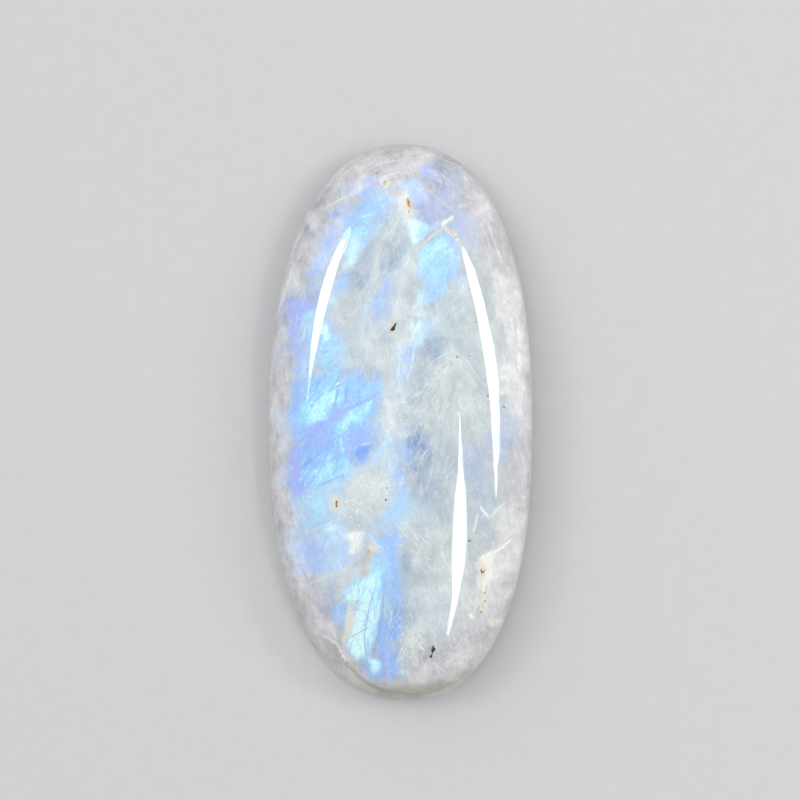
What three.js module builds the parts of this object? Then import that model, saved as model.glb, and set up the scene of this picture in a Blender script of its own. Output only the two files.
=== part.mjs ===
// A long oval rainbow moonstone cabochon, lying on its flat back with the polished dome up.
//
// Millimetres, +Z up. The origin is the centre of the flat back, the long axis is Y.
// The stone is one solid: a flat back, a bevel round it, a short upright girdle, and a dome whose
// level lines are the outline drawn smaller.
import * as THREE from "three";
import { mergeVertices } from "three/addons/utils/BufferGeometryUtils.js";

// Driving dimensions.
const LENGTH = 40;
const WIDTH = 19;
const THICKNESS = 7;
const GIRDLE_HEIGHT = 0.7;
const BEVEL_HEIGHT = 0.55;
const BEVEL_INSET = 0.75;

// The outline is a superellipse: 2 is an ellipse, more is fuller in the corners.
const FULLNESS_TOP = 2.28; // the +Y end
const FULLNESS_BOTTOM = 2.35; // the -Y end
const BOW = 0.26; // how far both tips lean towards +X, from hand cutting

// The dome's profile is a superellipse too, from the apex to the girdle.
const DOME_SHOULDER = 2.15;

const SEGMENTS = 112; // round the outline
const DOME_RINGS = 20; // from the girdle up to the apex

const POLISHED_MOONSTONE = new THREE.MeshStandardMaterial({
  color: new THREE.Color(0.8, 0.83, 0.88),
  roughness: 0.08,
  metalness: 0,
});

// |value| to the power, with the sign of value.
function signedPower(value, power) {
  return Math.sign(value) * Math.abs(value) ** power;
}

// A point on the outline. The turn goes from 0 to 2 pi, and starts at +X.
function outlinePoint(turn) {
  const fullness = Math.sin(turn) > 0 ? FULLNESS_TOP : FULLNESS_BOTTOM;
  const x = (WIDTH / 2) * signedPower(Math.cos(turn), 2 / fullness);
  const y = (LENGTH / 2) * signedPower(Math.sin(turn), 2 / fullness);
  return new THREE.Vector2(x, y);
}

// The outline's outward direction at a turn, from the superellipse's gradient.
function outlineNormal(turn) {
  const fullness = Math.sin(turn) > 0 ? FULLNESS_TOP : FULLNESS_BOTTOM;
  const power = 2 - 2 / fullness;
  const x = signedPower(Math.cos(turn), power) / WIDTH;
  const y = signedPower(Math.sin(turn), power) / LENGTH;
  return new THREE.Vector2(x, y).normalize();
}

// The levels of the surface, from the middle of the back, round the girdle, to the apex.
// scale draws the whole outline smaller, and inset moves it inwards by that many millimetres.
function levels() {
  const girdleTop = BEVEL_HEIGHT + GIRDLE_HEIGHT;
  const found = [
    { scale: 0, inset: 0, z: 0 },
    { scale: 1, inset: BEVEL_INSET, z: 0 },
    { scale: 1, inset: 0, z: BEVEL_HEIGHT },
  ];
  for (let ring = 0; ring <= DOME_RINGS; ring++) {
    const rise = (ring / DOME_RINGS) * (Math.PI / 2);
    const scale = ring === DOME_RINGS ? 0 : Math.cos(rise) ** (2 / DOME_SHOULDER);
    const z = girdleTop + (THICKNESS - girdleTop) * Math.sin(rise) ** (2 / DOME_SHOULDER);
    found.push({ scale, inset: 0, z });
  }
  return found;
}

// Leans the tips towards +X and leaves the middle, where the stone is widest, in place.
function bowed(x, y) {
  return x + BOW * (y / (LENGTH / 2)) ** 2;
}

// The closed surface: a lathe's rings, one for each level, pulled out to the outline.
function cabochonGeometry() {
  const profile = levels();
  const lathe = new THREE.LatheGeometry(
    profile.map((level, index) => new THREE.Vector2(level.scale, index)),
    SEGMENTS,
  );
  const position = lathe.getAttribute("position");
  const perColumn = profile.length;
  for (let i = 0; i < position.count; i++) {
    const level = profile[i % perColumn];
    const turn = (Math.floor(i / perColumn) / SEGMENTS) * Math.PI * 2;
    const edge = outlinePoint(turn).multiplyScalar(level.scale);
    edge.addScaledVector(outlineNormal(turn), -level.inset);
    position.setXYZ(i, bowed(edge.x, edge.y), edge.y, level.z);
  }
  lathe.deleteAttribute("normal");
  lathe.deleteAttribute("uv");
  const closed = mergeVertices(lathe, 1e-4);
  closed.computeVertexNormals();
  return closed;
}

const stone = new THREE.Mesh(cabochonGeometry(), POLISHED_MOONSTONE);
stone.name = "moonstone";

const cabochon = new THREE.Group();
cabochon.name = "moonstone_cabochon";
cabochon.add(stone);

export default cabochon;
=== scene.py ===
"""A long oval rainbow moonstone cabochon, lying on its flat back on a pale floor.

Lengths are in millimetres until a mesh, a lamp or the camera is made, which is in metres. The markings
are placed by points of the photograph's 800 x 800 frame, and scaled to the stone.
"""

import math
from collections import namedtuple
from types import SimpleNamespace

import bmesh
import bpy
import numpy as np
from mathutils import Matrix, Vector, noise


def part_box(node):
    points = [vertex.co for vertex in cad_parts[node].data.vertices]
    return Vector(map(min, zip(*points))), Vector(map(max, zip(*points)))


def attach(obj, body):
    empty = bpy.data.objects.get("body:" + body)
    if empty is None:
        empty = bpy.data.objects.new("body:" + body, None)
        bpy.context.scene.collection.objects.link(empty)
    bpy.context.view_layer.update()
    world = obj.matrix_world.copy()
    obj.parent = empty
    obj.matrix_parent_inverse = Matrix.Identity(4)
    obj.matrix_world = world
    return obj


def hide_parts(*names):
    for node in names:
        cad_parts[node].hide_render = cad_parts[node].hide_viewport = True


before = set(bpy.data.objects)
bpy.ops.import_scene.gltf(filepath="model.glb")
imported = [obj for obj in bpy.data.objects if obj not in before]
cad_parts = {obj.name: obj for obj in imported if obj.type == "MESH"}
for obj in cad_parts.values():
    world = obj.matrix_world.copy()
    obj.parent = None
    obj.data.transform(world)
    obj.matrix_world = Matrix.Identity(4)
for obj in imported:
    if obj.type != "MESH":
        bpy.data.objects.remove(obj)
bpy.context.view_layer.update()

NODE = "moonstone"
BODY = "root"
METRES = 0.001  # one millimetre

# The stone's shape. Its sizes come from the frame, and the rest is as the stone was cut.
low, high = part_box(NODE)
HALF_WIDTH = (high.x - low.x) / METRES / 2
HALF_LENGTH = (high.y - low.y) / METRES / 2
THICKNESS = (high.z - low.z) / METRES
FULLNESS_TOP = 2.28  # the outline's power, which is 2 for an ellipse
FULLNESS_BOTTOM = 2.35
BOW = 0.26  # how far both tips lean towards +X
DOME_SHOULDER = 2.15  # the dome's power
BEVEL_HEIGHT = 0.55
BEVEL_INSET = 0.75
GIRDLE_HEIGHT = 0.7
GIRDLE_TOP = BEVEL_HEIGHT + GIRDLE_HEIGHT
EDGE_ROUNDING = 0.12

# The clear polish: how deep it reaches to the milky inside, over the middle and at the sides, the outer
# share of the dome over which it thins, and how much it bends light.
POLISH_DEPTH = 0.75
SIDE_DEPTH = 0.35
THINNING = 0.25
REFRACTION = 1.53

# How finely the meshes are made: rings from the apex to the girdle, and distance between points.
SKIN_RINGS = 100
SKIN_SPACING = 0.2
INSIDE_RINGS = 150
INSIDE_SPACING = 0.108
EVEN_STEPS = 4000  # in which a curve is measured
CORNER_STEPS = 4
FEWEST_IN_RING = 6
BACK_SHRINK = 0.6  # from one ring of the flat back to the next

# Where the photograph shows the stone.
PHOTO_WIDTH = 800
PHOTO_MIDDLE = 400
STONE_LENGTH_IN_PHOTO = 556
STONE_MIDDLE_IN_PHOTO = (400.5, 422.5)
PIXEL = 2 * HALF_LENGTH / STONE_LENGTH_IN_PHOTO

# The camera looks straight down from this far above the girdle's top, over the photograph's middle.
LENS = 120
SENSOR = 36
CAMERA_DISTANCE = PHOTO_WIDTH * PIXEL * LENS / SENSOR
CAMERA_PLACE = (np.array([PHOTO_MIDDLE, PHOTO_MIDDLE]) - STONE_MIDDLE_IN_PHOTO) * (PIXEL, -PIXEL)


# ---------------------------------------------------------------- the stone's shape


def signed_power(value, power):
    """A power of a value's size, with the value's sign."""
    return np.sign(value) * np.abs(value) ** power


def eased(value):
    """A value held between 0 and 1, with a gentle start and end."""
    value = np.clip(value, 0, 1)
    return value * value * (3 - 2 * value)


def outline(turn):
    """Points on the stone's outline, for turns from 0 at +X to 2 pi, and the outward directions there."""
    fullness = np.where(np.sin(turn) > 0, FULLNESS_TOP, FULLNESS_BOTTOM)
    x = HALF_WIDTH * signed_power(np.cos(turn), 2 / fullness)
    y = HALF_LENGTH * signed_power(np.sin(turn), 2 / fullness)
    nx = signed_power(np.cos(turn), 2 - 2 / fullness) / HALF_WIDTH
    ny = signed_power(np.sin(turn), 2 - 2 / fullness) / HALF_LENGTH
    size = np.hypot(nx, ny)
    return x, y, nx / size, ny / size


def walked_along(x, y):
    """Distance from the start to each point of a path."""
    return np.concatenate([[0], np.cumsum(np.hypot(np.diff(x), np.diff(y)))])


TURNS = np.linspace(0, 2 * math.pi, EVEN_STEPS)
GIRTH_WALKED = walked_along(*outline(TURNS)[:2])
GIRTH = GIRTH_WALKED[-1]


def dome_height(scale):
    """Height of the polished dome where the outline is drawn at this scale, 0 at the apex to 1."""
    rise = np.clip(1 - np.clip(scale, 0, 1) ** DOME_SHOULDER, 0, 1) ** (1 / DOME_SHOULDER)
    return GIRDLE_TOP + (THICKNESS - GIRDLE_TOP) * rise


def scale_at(x, y):
    """The scale at which the outline passes through a point seen from above."""
    fullness = np.where(y > 0, FULLNESS_TOP, FULLNESS_BOTTOM)
    straight = x - BOW * (y / HALF_LENGTH) ** 2
    return (np.abs(straight / HALF_WIDTH) ** fullness + np.abs(y / HALF_LENGTH) ** fullness) ** (1 / fullness)


def dome_normals(x, y):
    """The dome's outward directions over points seen from above, one row for each."""
    step = 1e-3
    slope_x = (dome_height(scale_at(x + step, y)) - dome_height(scale_at(x - step, y))) / (2 * step)
    slope_y = (dome_height(scale_at(x, y + step)) - dome_height(scale_at(x, y - step))) / (2 * step)
    normals = np.stack([-slope_x, -slope_y, np.ones(np.shape(x))], axis=-1)
    return normals / np.linalg.norm(normals, axis=-1, keepdims=True)


def polish_depth(x, y):
    """How deep the clear polish is over the milky inside, which is less towards the girdle."""
    return SIDE_DEPTH + (POLISH_DEPTH - SIDE_DEPTH) * eased((1 - scale_at(x, y)) / THINNING)


def sealed(x, y, share):
    """Places that the camera sees through x and y of the dome, at this share of the polish's depth."""
    normals = dome_normals(x, y)
    surface = np.stack([x, y, dome_height(scale_at(x, y))], axis=-1)
    look = surface - np.array([*CAMERA_PLACE, GIRDLE_TOP + CAMERA_DISTANCE])
    look = look / np.linalg.norm(look, axis=-1, keepdims=True)
    facing = np.clip(-(look * normals).sum(axis=-1, keepdims=True), 0, 1)
    bent = np.sqrt(1 - (1 - facing**2) / REFRACTION**2)
    ray = look / REFRACTION + normals * (facing / REFRACTION - bent)
    return surface + ray * (polish_depth(x, y) * share)[..., None] / bent


# One ring of a body: the outline's scale, how far it is then drawn in, its height and its points.
Ring = namedtuple("Ring", "scale inset height points")


def dome_rings(rings, spacing):
    """The rings of the dome, evenly spaced from the apex to the girdle's top."""
    fine = np.sin(np.linspace(0, math.pi / 2, EVEN_STEPS))
    walked = walked_along(HALF_LENGTH * fine, dome_height(fine))
    scales = np.interp(np.linspace(0, walked[-1], rings + 1), walked, fine)
    found = [Ring(0.0, 0.0, THICKNESS, 1)]
    for scale in scales[1:]:
        points = max(FEWEST_IN_RING, round(GIRTH * scale / spacing))
        found.append(Ring(scale, 0.0, float(dome_height(scale)), points))
    return found


def rounded(before, corner, after):
    """A corner of the profile as a short curve of (inset, height) points."""
    corner = Vector(corner)
    start = corner + (Vector(before) - corner).normalized() * EDGE_ROUNDING
    end = corner + (Vector(after) - corner).normalized() * EDGE_ROUNDING
    curve = []
    for step in range(CORNER_STEPS + 1):
        t = step / CORNER_STEPS
        curve.append(start * (1 - t) ** 2 + corner * 2 * t * (1 - t) + end * t**2)
    return [tuple(point) for point in curve]


def lower_rings(spacing, depth):
    """The rings below the girdle's top, as far as the middle of the back, at a depth inside the stone."""
    top = (depth, GIRDLE_TOP)
    girdle = (depth, BEVEL_HEIGHT + depth)
    bevel = (BEVEL_INSET + depth, depth)
    middle = (HALF_WIDTH, depth)
    profile = [*rounded(top, girdle, bevel), *rounded(girdle, bevel, middle)]
    points = round(GIRTH / spacing)
    found = [Ring(1.0, inset, height, points) for inset, height in profile]
    scale = 1.0
    while points > FEWEST_IN_RING:
        points = max(FEWEST_IN_RING, points // 2)
        scale *= BACK_SHRINK
        found.append(Ring(scale, (BEVEL_INSET + depth) * scale, depth, points))
    found.append(Ring(0.0, 0.0, depth, 1))
    return found


def ring_points(ring):
    """Points of one ring, bowed as the stone is, as rows of x, y and z."""
    turns = np.interp(np.arange(ring.points) / ring.points * GIRTH, GIRTH_WALKED, TURNS)
    x, y, nx, ny = outline(turns)
    x = x * ring.scale - nx * ring.inset
    y = y * ring.scale - ny * ring.inset
    return np.stack([x + BOW * (y / HALF_LENGTH) ** 2, y, np.full(ring.points, ring.height)], axis=1)


def stitched(counts):
    """Triangles that join neighbouring rings, where ring k has counts[k] points. A ring of 1 is a tip."""
    faces = []
    start = 0
    for near, far in zip(counts, counts[1:], strict=False):
        other = start + near
        i = j = 0
        while i < near or j < far:
            if j < far and (i >= near or (j + 1) * near <= (i + 1) * far):
                if far > 1:
                    faces.append((start + i % near, other + j, other + (j + 1) % far))
                j += 1
            else:
                if near > 1:
                    faces.append((start + i, other + j % far, start + (i + 1) % near))
                i += 1
        start = other
    return faces


def placed(name, data):
    """A new object of the scene."""
    made = bpy.data.objects.new(name, data)
    bpy.context.scene.collection.objects.link(made)
    return made


def mesh_object(name, points, faces, material, smooth=True):
    """A mesh object from points in millimetres, which rides on the stone's body."""
    mesh = bpy.data.meshes.new(name)
    mesh.from_pydata((np.asarray(points) * METRES).tolist(), [], faces)
    mesh.materials.append(material)
    if smooth:
        mesh.shade_smooth()
    made = placed(name, mesh)
    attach(made, BODY)
    return made


# ---------------------------------------------------------------- markings


def paint(milk, flash=0.0, hue=0.5, warm=0.0, **more):
    """The channels that a paint sets. Sugar, which few paints name, stays as it was under the others."""
    return {"flash": flash, "hue": hue, "milk": milk, "warm": warm, **more}


# Flash is how strong the blue flash is, and hue runs from violet to cyan. Milk runs from a clear window
# to white, and warm from ivory to rust. Sugar is how much it glitters with crystals.
PAINTS = {
    "deep window": paint(milk=-0.08, flash=0.25),
    "window": paint(milk=0.2, flash=0.05),
    "dark": paint(milk=-0.1, hue=0.4),
    "grey": paint(milk=0.36),
    "milk": paint(milk=0.66),
    "cloud": paint(milk=0.76, hue=0.6),
    "crystal": paint(milk=0.72, hue=0.6, warm=0.03, sugar=1),
    "white": paint(milk=1.1, hue=0.9),
    "olive": paint(milk=0.3, warm=0.12),
    "ivory": paint(milk=1.1, warm=0.1),
    "cream": paint(milk=0.55, warm=0.07),
    "mauve": paint(milk=0.62, flash=0.12, hue=0.05, warm=0.04),
    "beige": paint(milk=0.72, warm=0.16),
    "tan": paint(milk=0.4, warm=0.5),
    "ochre": paint(milk=0.2, warm=0.6),
    "orange": paint(milk=0.7, warm=0.75),
    "brown": paint(milk=0.05, warm=0.2),
    "lavender": paint(milk=0.36, flash=0.4, hue=0.1),
    "pale lavender": paint(milk=0.8, flash=0.5, hue=0.16),
    "violet": paint(milk=0.5, flash=0.96, hue=0.02),
    "periwinkle": paint(milk=0.5, flash=0.92, hue=0.24),
    "deep": paint(milk=0.1, flash=1, hue=0.43),
    "sky": paint(milk=0.5, flash=0.94, hue=0.6),
    "pale sky": paint(milk=0.82, flash=0.62, hue=0.66),
    "pale cyan": paint(milk=1, flash=0.66, hue=0.98),
    "cyan": paint(milk=0.6, flash=1, hue=0.85),
    "cyan white": paint(milk=1, flash=1, hue=1.38),
}
BODY_PAINT = paint(milk=0.5, sugar=0.0)

# What is strewn varies in its bend, in degrees, in its reach to both sides of its middle, as a share of
# the length asked for, and in its width, as a share of the width asked for.
STREWN_BENDS = (-22, 22)
STREWN_REACHES = (0.3, 0.75)
STREWN_WIDTHS = (0.6, 1.3)
SCATTERED_SPREAD = 12  # degrees
SCATTERED_STRENGTH = 0.5


def area(paint_name, softness, *corners, strength=1.0):
    """A marking that fills an outline of corners, with an edge this many pixels soft."""
    return {"paint": paint_name, "size": softness, "points": corners, "closed": True, "strength": strength}


def streak(paint_name, width, *route, strength=0.9):
    """A marking this many pixels wide along a route."""
    return {"paint": paint_name, "size": width, "points": route, "closed": False, "strength": strength}


def is_within(path, x, y):
    """Whether points lie in a closed path."""
    within = np.zeros(x.shape, bool)
    for (ax, ay), (bx, by) in zip(path, path[1:], strict=False):
        if ay != by:
            within ^= ((ay > y) != (by > y)) & (x < ax + (y - ay) * (bx - ax) / (by - ay))
    return within


strewn = np.random.default_rng(seed=11)


def strewn_routes(count, length, lean, spread, corners):
    """Short routes strewn in an outline. They lean about this many degrees from up towards the right."""
    low_corner = np.min(corners, axis=0)
    high_corner = np.max(corners, axis=0)
    closed = np.array([*corners, corners[0]], float)
    routes = []
    while len(routes) < count:
        middle = strewn.uniform(low_corner, high_corner)
        heading = math.radians(lean + spread * strewn.normal())
        bend = math.radians(strewn.uniform(*STREWN_BENDS))
        reach = length * strewn.uniform(*STREWN_REACHES)
        if is_within(closed, middle[:1], middle[1:])[0]:
            start = middle - reach * np.array([math.sin(heading - bend), -math.cos(heading - bend)])
            end = middle + reach * np.array([math.sin(heading + bend), -math.cos(heading + bend)])
            routes.append((tuple(start), tuple(middle), tuple(end)))
    return routes


def scattered(paint_name, width, count, length, lean, *corners):
    """Streaks strewn in an outline, about this many pixels wide and long."""
    found = []
    for route in strewn_routes(count, length, lean, SCATTERED_SPREAD, corners):
        uneven = width * strewn.uniform(*STREWN_WIDTHS)
        found.append(streak(paint_name, uneven, *route, strength=SCATTERED_STRENGTH))
    return found


# Each list below holds the markings of one region: a paint, a softness or width in pixels, and points.
# A later marking lies over an earlier one.

# The pale edge all round and the dark places in it, with painted shade along the lower left edge and the
# right rim, and a painted glint on the right rim.
MARGINS = [
    area("grey", 40, (262, 400), (268, 330), (280, 270), (300, 215), (330, 180), (352, 166), (354, 178),
         (332, 204), (314, 240), (302, 280), (292, 330), (289, 400), (289, 480), (297, 540), (311, 600),
         (328, 644), (305, 620), (284, 570), (267, 490), strength=0.15),
    area("milk", 28, (270, 350), (288, 345), (287, 400), (286, 470), (296, 540), (312, 590), (326, 626),
         (318, 634), (300, 600), (282, 550), (268, 480), strength=0.55),
    area("milk", 20, (306, 604), (322, 618), (332, 636), (322, 642), (308, 626), strength=0.5),
    # Painted shadow: a dark streak along the lower left edge.
    streak("dark", 3.5, (312, 643), (324, 658), (338, 672), (354, 684), strength=0.45),
    # Painted shade: a dark streak down the right rim.
    streak("dark", 5, (530, 400), (531, 460), (527, 520), strength=0.3),
    # A painted glint on the right rim.
    streak("ivory", 1.8, (525, 372), (527, 384), (528, 398), strength=0.6),
    area("milk", 12, (512, 366), (524, 366), (525, 398), (513, 398), strength=0.5),
    area("milk", 30, (344, 166), (370, 148), (400, 143), (435, 147), (466, 164), (492, 195), (508, 228),
         (496, 228), (470, 196), (440, 172), (400, 164), (362, 174)),
    area("cloud", 24, (446, 160), (470, 172), (490, 206), (480, 214), (462, 194), (446, 176), strength=0.45),
    area("milk", 40, (500, 236), (522, 300), (533, 380), (535, 440), (530, 500), (516, 560), (496, 600),
         (470, 640), (440, 676), (400, 690), (404, 676), (440, 656), (470, 610), (494, 560), (508, 490),
         (512, 420), (506, 330)),
    area("grey", 24, (512, 468), (524, 474), (526, 500), (517, 506), (509, 490)),
    area("brown", 14, (372, 686), (400, 690), (440, 686), (470, 670), (476, 676), (444, 700), (400, 704),
         (366, 698)),
    area("milk", 18, (300, 596), (318, 614), (330, 632), (344, 652), (356, 668), (340, 664), (322, 644),
         (304, 616), strength=0.8),
    area("dark", 8, (302, 225), (308, 224), (307, 235), (301, 237), strength=0.5),
    area("dark", 9, (294, 240), (299, 240), (297, 250), (293, 250), strength=0.4),
    area("dark", 9, (287, 272), (292, 272), (291, 284), (286, 284), strength=0.4),
    area("dark", 9, (382, 150), (398, 149), (399, 155), (383, 156), strength=0.5),
    area("dark", 9, (278, 515), (285, 515), (286, 526), (280, 528), strength=0.6),
    area("dark", 12, (306, 205), (322, 194), (326, 200), (312, 212), strength=0.35),
    area("cream", 9, (312, 216), (320, 216), (319, 225), (311, 225)),
    area("cream", 10, (310, 244), (318, 244), (316, 256), (309, 258)),
    area("cream", 14, (281, 408), (292, 410), (293, 430), (283, 432), strength=0.6),
    area("milk", 12, (286, 268), (300, 262), (304, 290), (292, 300), strength=0.6),
    area("milk", 12, (296, 550), (306, 552), (312, 580), (300, 576), strength=0.6),
]

# A faint blue haze over the left and the middle.
HAZE = [
    area("pale sky", 60, (322, 214), (400, 190), (424, 230), (404, 330), (404, 430), (412, 520), (402, 620),
         (372, 668), (338, 640), (308, 560), (292, 480), (292, 330), (306, 260), strength=0.32),
    area("pale sky", 40, (372, 400), (420, 380), (440, 420), (432, 520), (400, 560), (372, 500),
         strength=0.2),
    area("pale sky", 40, (430, 290), (476, 280), (486, 360), (440, 360), (416, 340), strength=0.25),
]

# Clear, darker windows between the clouds, and lavender ones.
WINDOWS = [
    area("window", 24, (355, 255), (368, 246), (372, 262), (366, 280), (354, 290), (350, 276)),
    area("window", 24, (379, 246), (392, 232), (402, 235), (402, 252), (392, 275), (383, 290), (376, 284),
         strength=0.6),
    area("window", 19, (340, 345), (352, 338), (358, 350), (356, 366), (346, 366), (338, 358), strength=0.5),
    area("window", 26, (416, 330), (432, 326), (443, 345), (438, 360), (426, 366), (412, 376), strength=0.75),
    area("deep window", 14, (428, 340), (438, 339), (440, 350), (433, 355), (427, 350), strength=0.5),
    area("window", 23, (440, 312), (460, 304), (462, 330), (462, 350), (450, 334), strength=0.5),
    area("milk", 14, (464, 312), (476, 312), (480, 344), (468, 344), strength=0.8),
    area("window", 13, (472, 366), (482, 366), (488, 392), (482, 395), (475, 382)),
    area("window", 20, (408, 386), (421, 376), (428, 384), (420, 402), (410, 412), (405, 402)),
    area("mauve", 30, (436, 376), (456, 376), (456, 430), (438, 434), (434, 400), strength=0.5),
    area("window", 30, (430, 455), (445, 440), (452, 470), (444, 510), (432, 520), strength=0.4),
    area("window", 16, (410, 474), (424, 466), (428, 484), (424, 498), (412, 498), strength=0.95),
    area("window", 12, (412, 424), (424, 420), (425, 438), (418, 450), (410, 450), strength=0.9),
    area("window", 16, (498, 328), (508, 325), (512, 350), (505, 362), (499, 348), strength=0.5),
    streak("milk", 3, (496, 320), (506, 313), (513, 324), (511, 342), strength=0.5),
    area("window", 14, (493, 226), (502, 228), (502, 246), (496, 244), strength=0.7),
    area("lavender", 30, (468, 452), (480, 440), (493, 446), (494, 470), (490, 505), (474, 508),
         strength=0.9),
    area("lavender", 30, (500, 415), (515, 410), (524, 425), (520, 455), (505, 470), (498, 450),
         strength=0.8),
    area("lavender", 20, (426, 184), (444, 180), (458, 196), (457, 208), (448, 222), (436, 222), (427, 212)),
    area("lavender", 18, (436, 162), (452, 166), (464, 182), (456, 186), (440, 174), strength=0.7),
    area("lavender", 23, (455, 212), (470, 212), (472, 226), (460, 235), (452, 226), strength=0.8),
    area("pale lavender", 20, (424, 590), (449, 590), (452, 626), (436, 636), (427, 626), strength=0.7),
    area("window", 19, (436, 636), (456, 640), (458, 654), (444, 660), (432, 650), strength=0.7),
    area("window", 16, (462, 628), (474, 628), (474, 642), (464, 644), strength=0.7),
    area("window", 23, (402, 546), (412, 549), (418, 575), (412, 592), (404, 586)),
    area("lavender", 22, (314, 590), (332, 587), (336, 598), (332, 610), (318, 608), strength=0.9),
    area("window", 16, (476, 526), (494, 522), (502, 536), (492, 548), (478, 550), strength=0.25),
]

# The lobe at the upper left, beside the strip of reflected light.
UPPER_LEFT_FLASH = [
    area("pale lavender", 22, (318, 232), (334, 212), (352, 203), (357, 214), (346, 232), (336, 256),
         (322, 284), (309, 290), (311, 262), strength=0.95),
    area("pale lavender", 14, (346, 194), (358, 183), (374, 174), (381, 179), (372, 188), (354, 198),
         strength=0.85),
    area("periwinkle", 9, (336, 209), (346, 201), (358, 194), (369, 187), (371, 191), (360, 199), (348, 206),
         (340, 212)),
    area("sky", 13, (350, 206), (364, 197), (378, 191), (388, 195), (391, 205), (387, 216), (378, 227),
         (369, 237), (361, 246), (352, 243), (346, 232), (343, 218), strength=0.9),
    area("periwinkle", 14, (342, 214), (354, 205), (367, 201), (367, 210), (354, 220), (346, 225),
         strength=0.5),
    area("pale sky", 14, (370, 194), (384, 193), (390, 204), (382, 214), (372, 210), strength=0.7),
    area("periwinkle", 10, (332, 214), (342, 204), (358, 196), (353, 206), (342, 216), (334, 222),
         strength=0.6),
    area("cyan", 10, (355, 222), (366, 214), (375, 211), (373, 222), (364, 235), (354, 241), (350, 232),
         strength=0.85),
    area("pale cyan", 9, (350, 236), (358, 235), (361, 246), (357, 256), (348, 266), (341, 270), (346, 256),
         strength=0.85),
    area("sky", 12, (336, 276), (347, 272), (350, 286), (343, 295), (335, 291), strength=0.9),
    area("pale cyan", 6, (330, 297), (336, 297), (338, 304), (333, 310), (329, 304)),
    area("deep", 4, (333, 208), (341, 209), (341, 216), (334, 216), strength=0.9),
    area("periwinkle", 16, (326, 228), (334, 226), (336, 244), (328, 252), (323, 246), strength=0.5),
    area("pale sky", 16, (315, 252), (328, 248), (327, 268), (316, 270), strength=0.8),
    area("periwinkle", 14, (308, 270), (318, 268), (317, 287), (308, 289), strength=0.5),
    streak("milk", 3, (323, 208), (340, 200), (356, 191), (367, 184), strength=0.85),
    streak("mauve", 3.2, (340, 210), (358, 201), (377, 194), strength=0.5),
    streak("pale lavender", 3, (334, 220), (344, 216), (355, 212)),
    streak("pale cyan", 2.2, (361, 216), (368, 214), (375, 211), strength=0.8),
    streak("pale cyan", 1.8, (356, 236), (362, 234), (368, 233), strength=0.7),
    streak("lavender", 1.6, (351, 227), (361, 221), (371, 229), strength=0.8),
    *scattered("sky", 2.6, 12, 12, 62, (344, 212), (388, 196), (386, 214), (362, 238), (350, 232)),
]

# The field at the left, above the large flash.
LEFT_FLASH = [
    area("lavender", 22, (288, 302), (306, 290), (320, 298), (318, 330), (310, 376), (296, 384), (291, 340)),
    area("violet", 9, (292, 303), (303, 298), (313, 299), (311, 311), (303, 321), (291, 322)),
    area("periwinkle", 7, (295, 302), (310, 299), (311, 309), (300, 313), (294, 311), strength=0.9),
    area("pale sky", 8, (304, 313), (312, 311), (312, 320), (303, 321)),
    area("violet", 8, (288, 327), (299, 324), (301, 333), (291, 337), strength=0.9),
    area("pale sky", 10, (300, 322), (312, 322), (310, 346), (299, 346)),
    area("periwinkle", 9, (292, 343), (298, 342), (299, 351), (293, 352), strength=0.7),
    area("pale sky", 14, (296, 348), (312, 342), (310, 384), (294, 388)),
    area("periwinkle", 14, (293, 352), (301, 350), (300, 384), (292, 386), strength=0.6),
    area("pale sky", 18, (318, 310), (334, 326), (340, 350), (338, 376), (308, 388), (306, 350)),
    area("cyan", 16, (316, 324), (332, 328), (334, 352), (326, 368), (314, 366), strength=0.5),
    area("cyan white", 7, (322, 329), (329, 328), (330, 336), (323, 337), strength=0.9),
    area("cyan", 7, (336, 327), (343, 327), (343, 334), (337, 334), strength=0.6),
    area("periwinkle", 8, (330, 317), (337, 321), (338, 329), (332, 329), strength=0.9),
    area("sky", 12, (358, 312), (364, 305), (368, 310), (366, 322), (359, 324)),
    area("pale sky", 14, (362, 308), (374, 304), (378, 314), (374, 326), (364, 330)),
    *scattered("cyan", 2.0, 10, 10, 50, (314, 320), (334, 322), (336, 370), (310, 376)),
    *scattered("periwinkle", 1.6, 8, 12, 60, (310, 330), (334, 330), (336, 372), (306, 376)),
    *scattered("lavender", 2.0, 12, 9, 30, (290, 302), (310, 300), (308, 376), (294, 380)),
]

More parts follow.
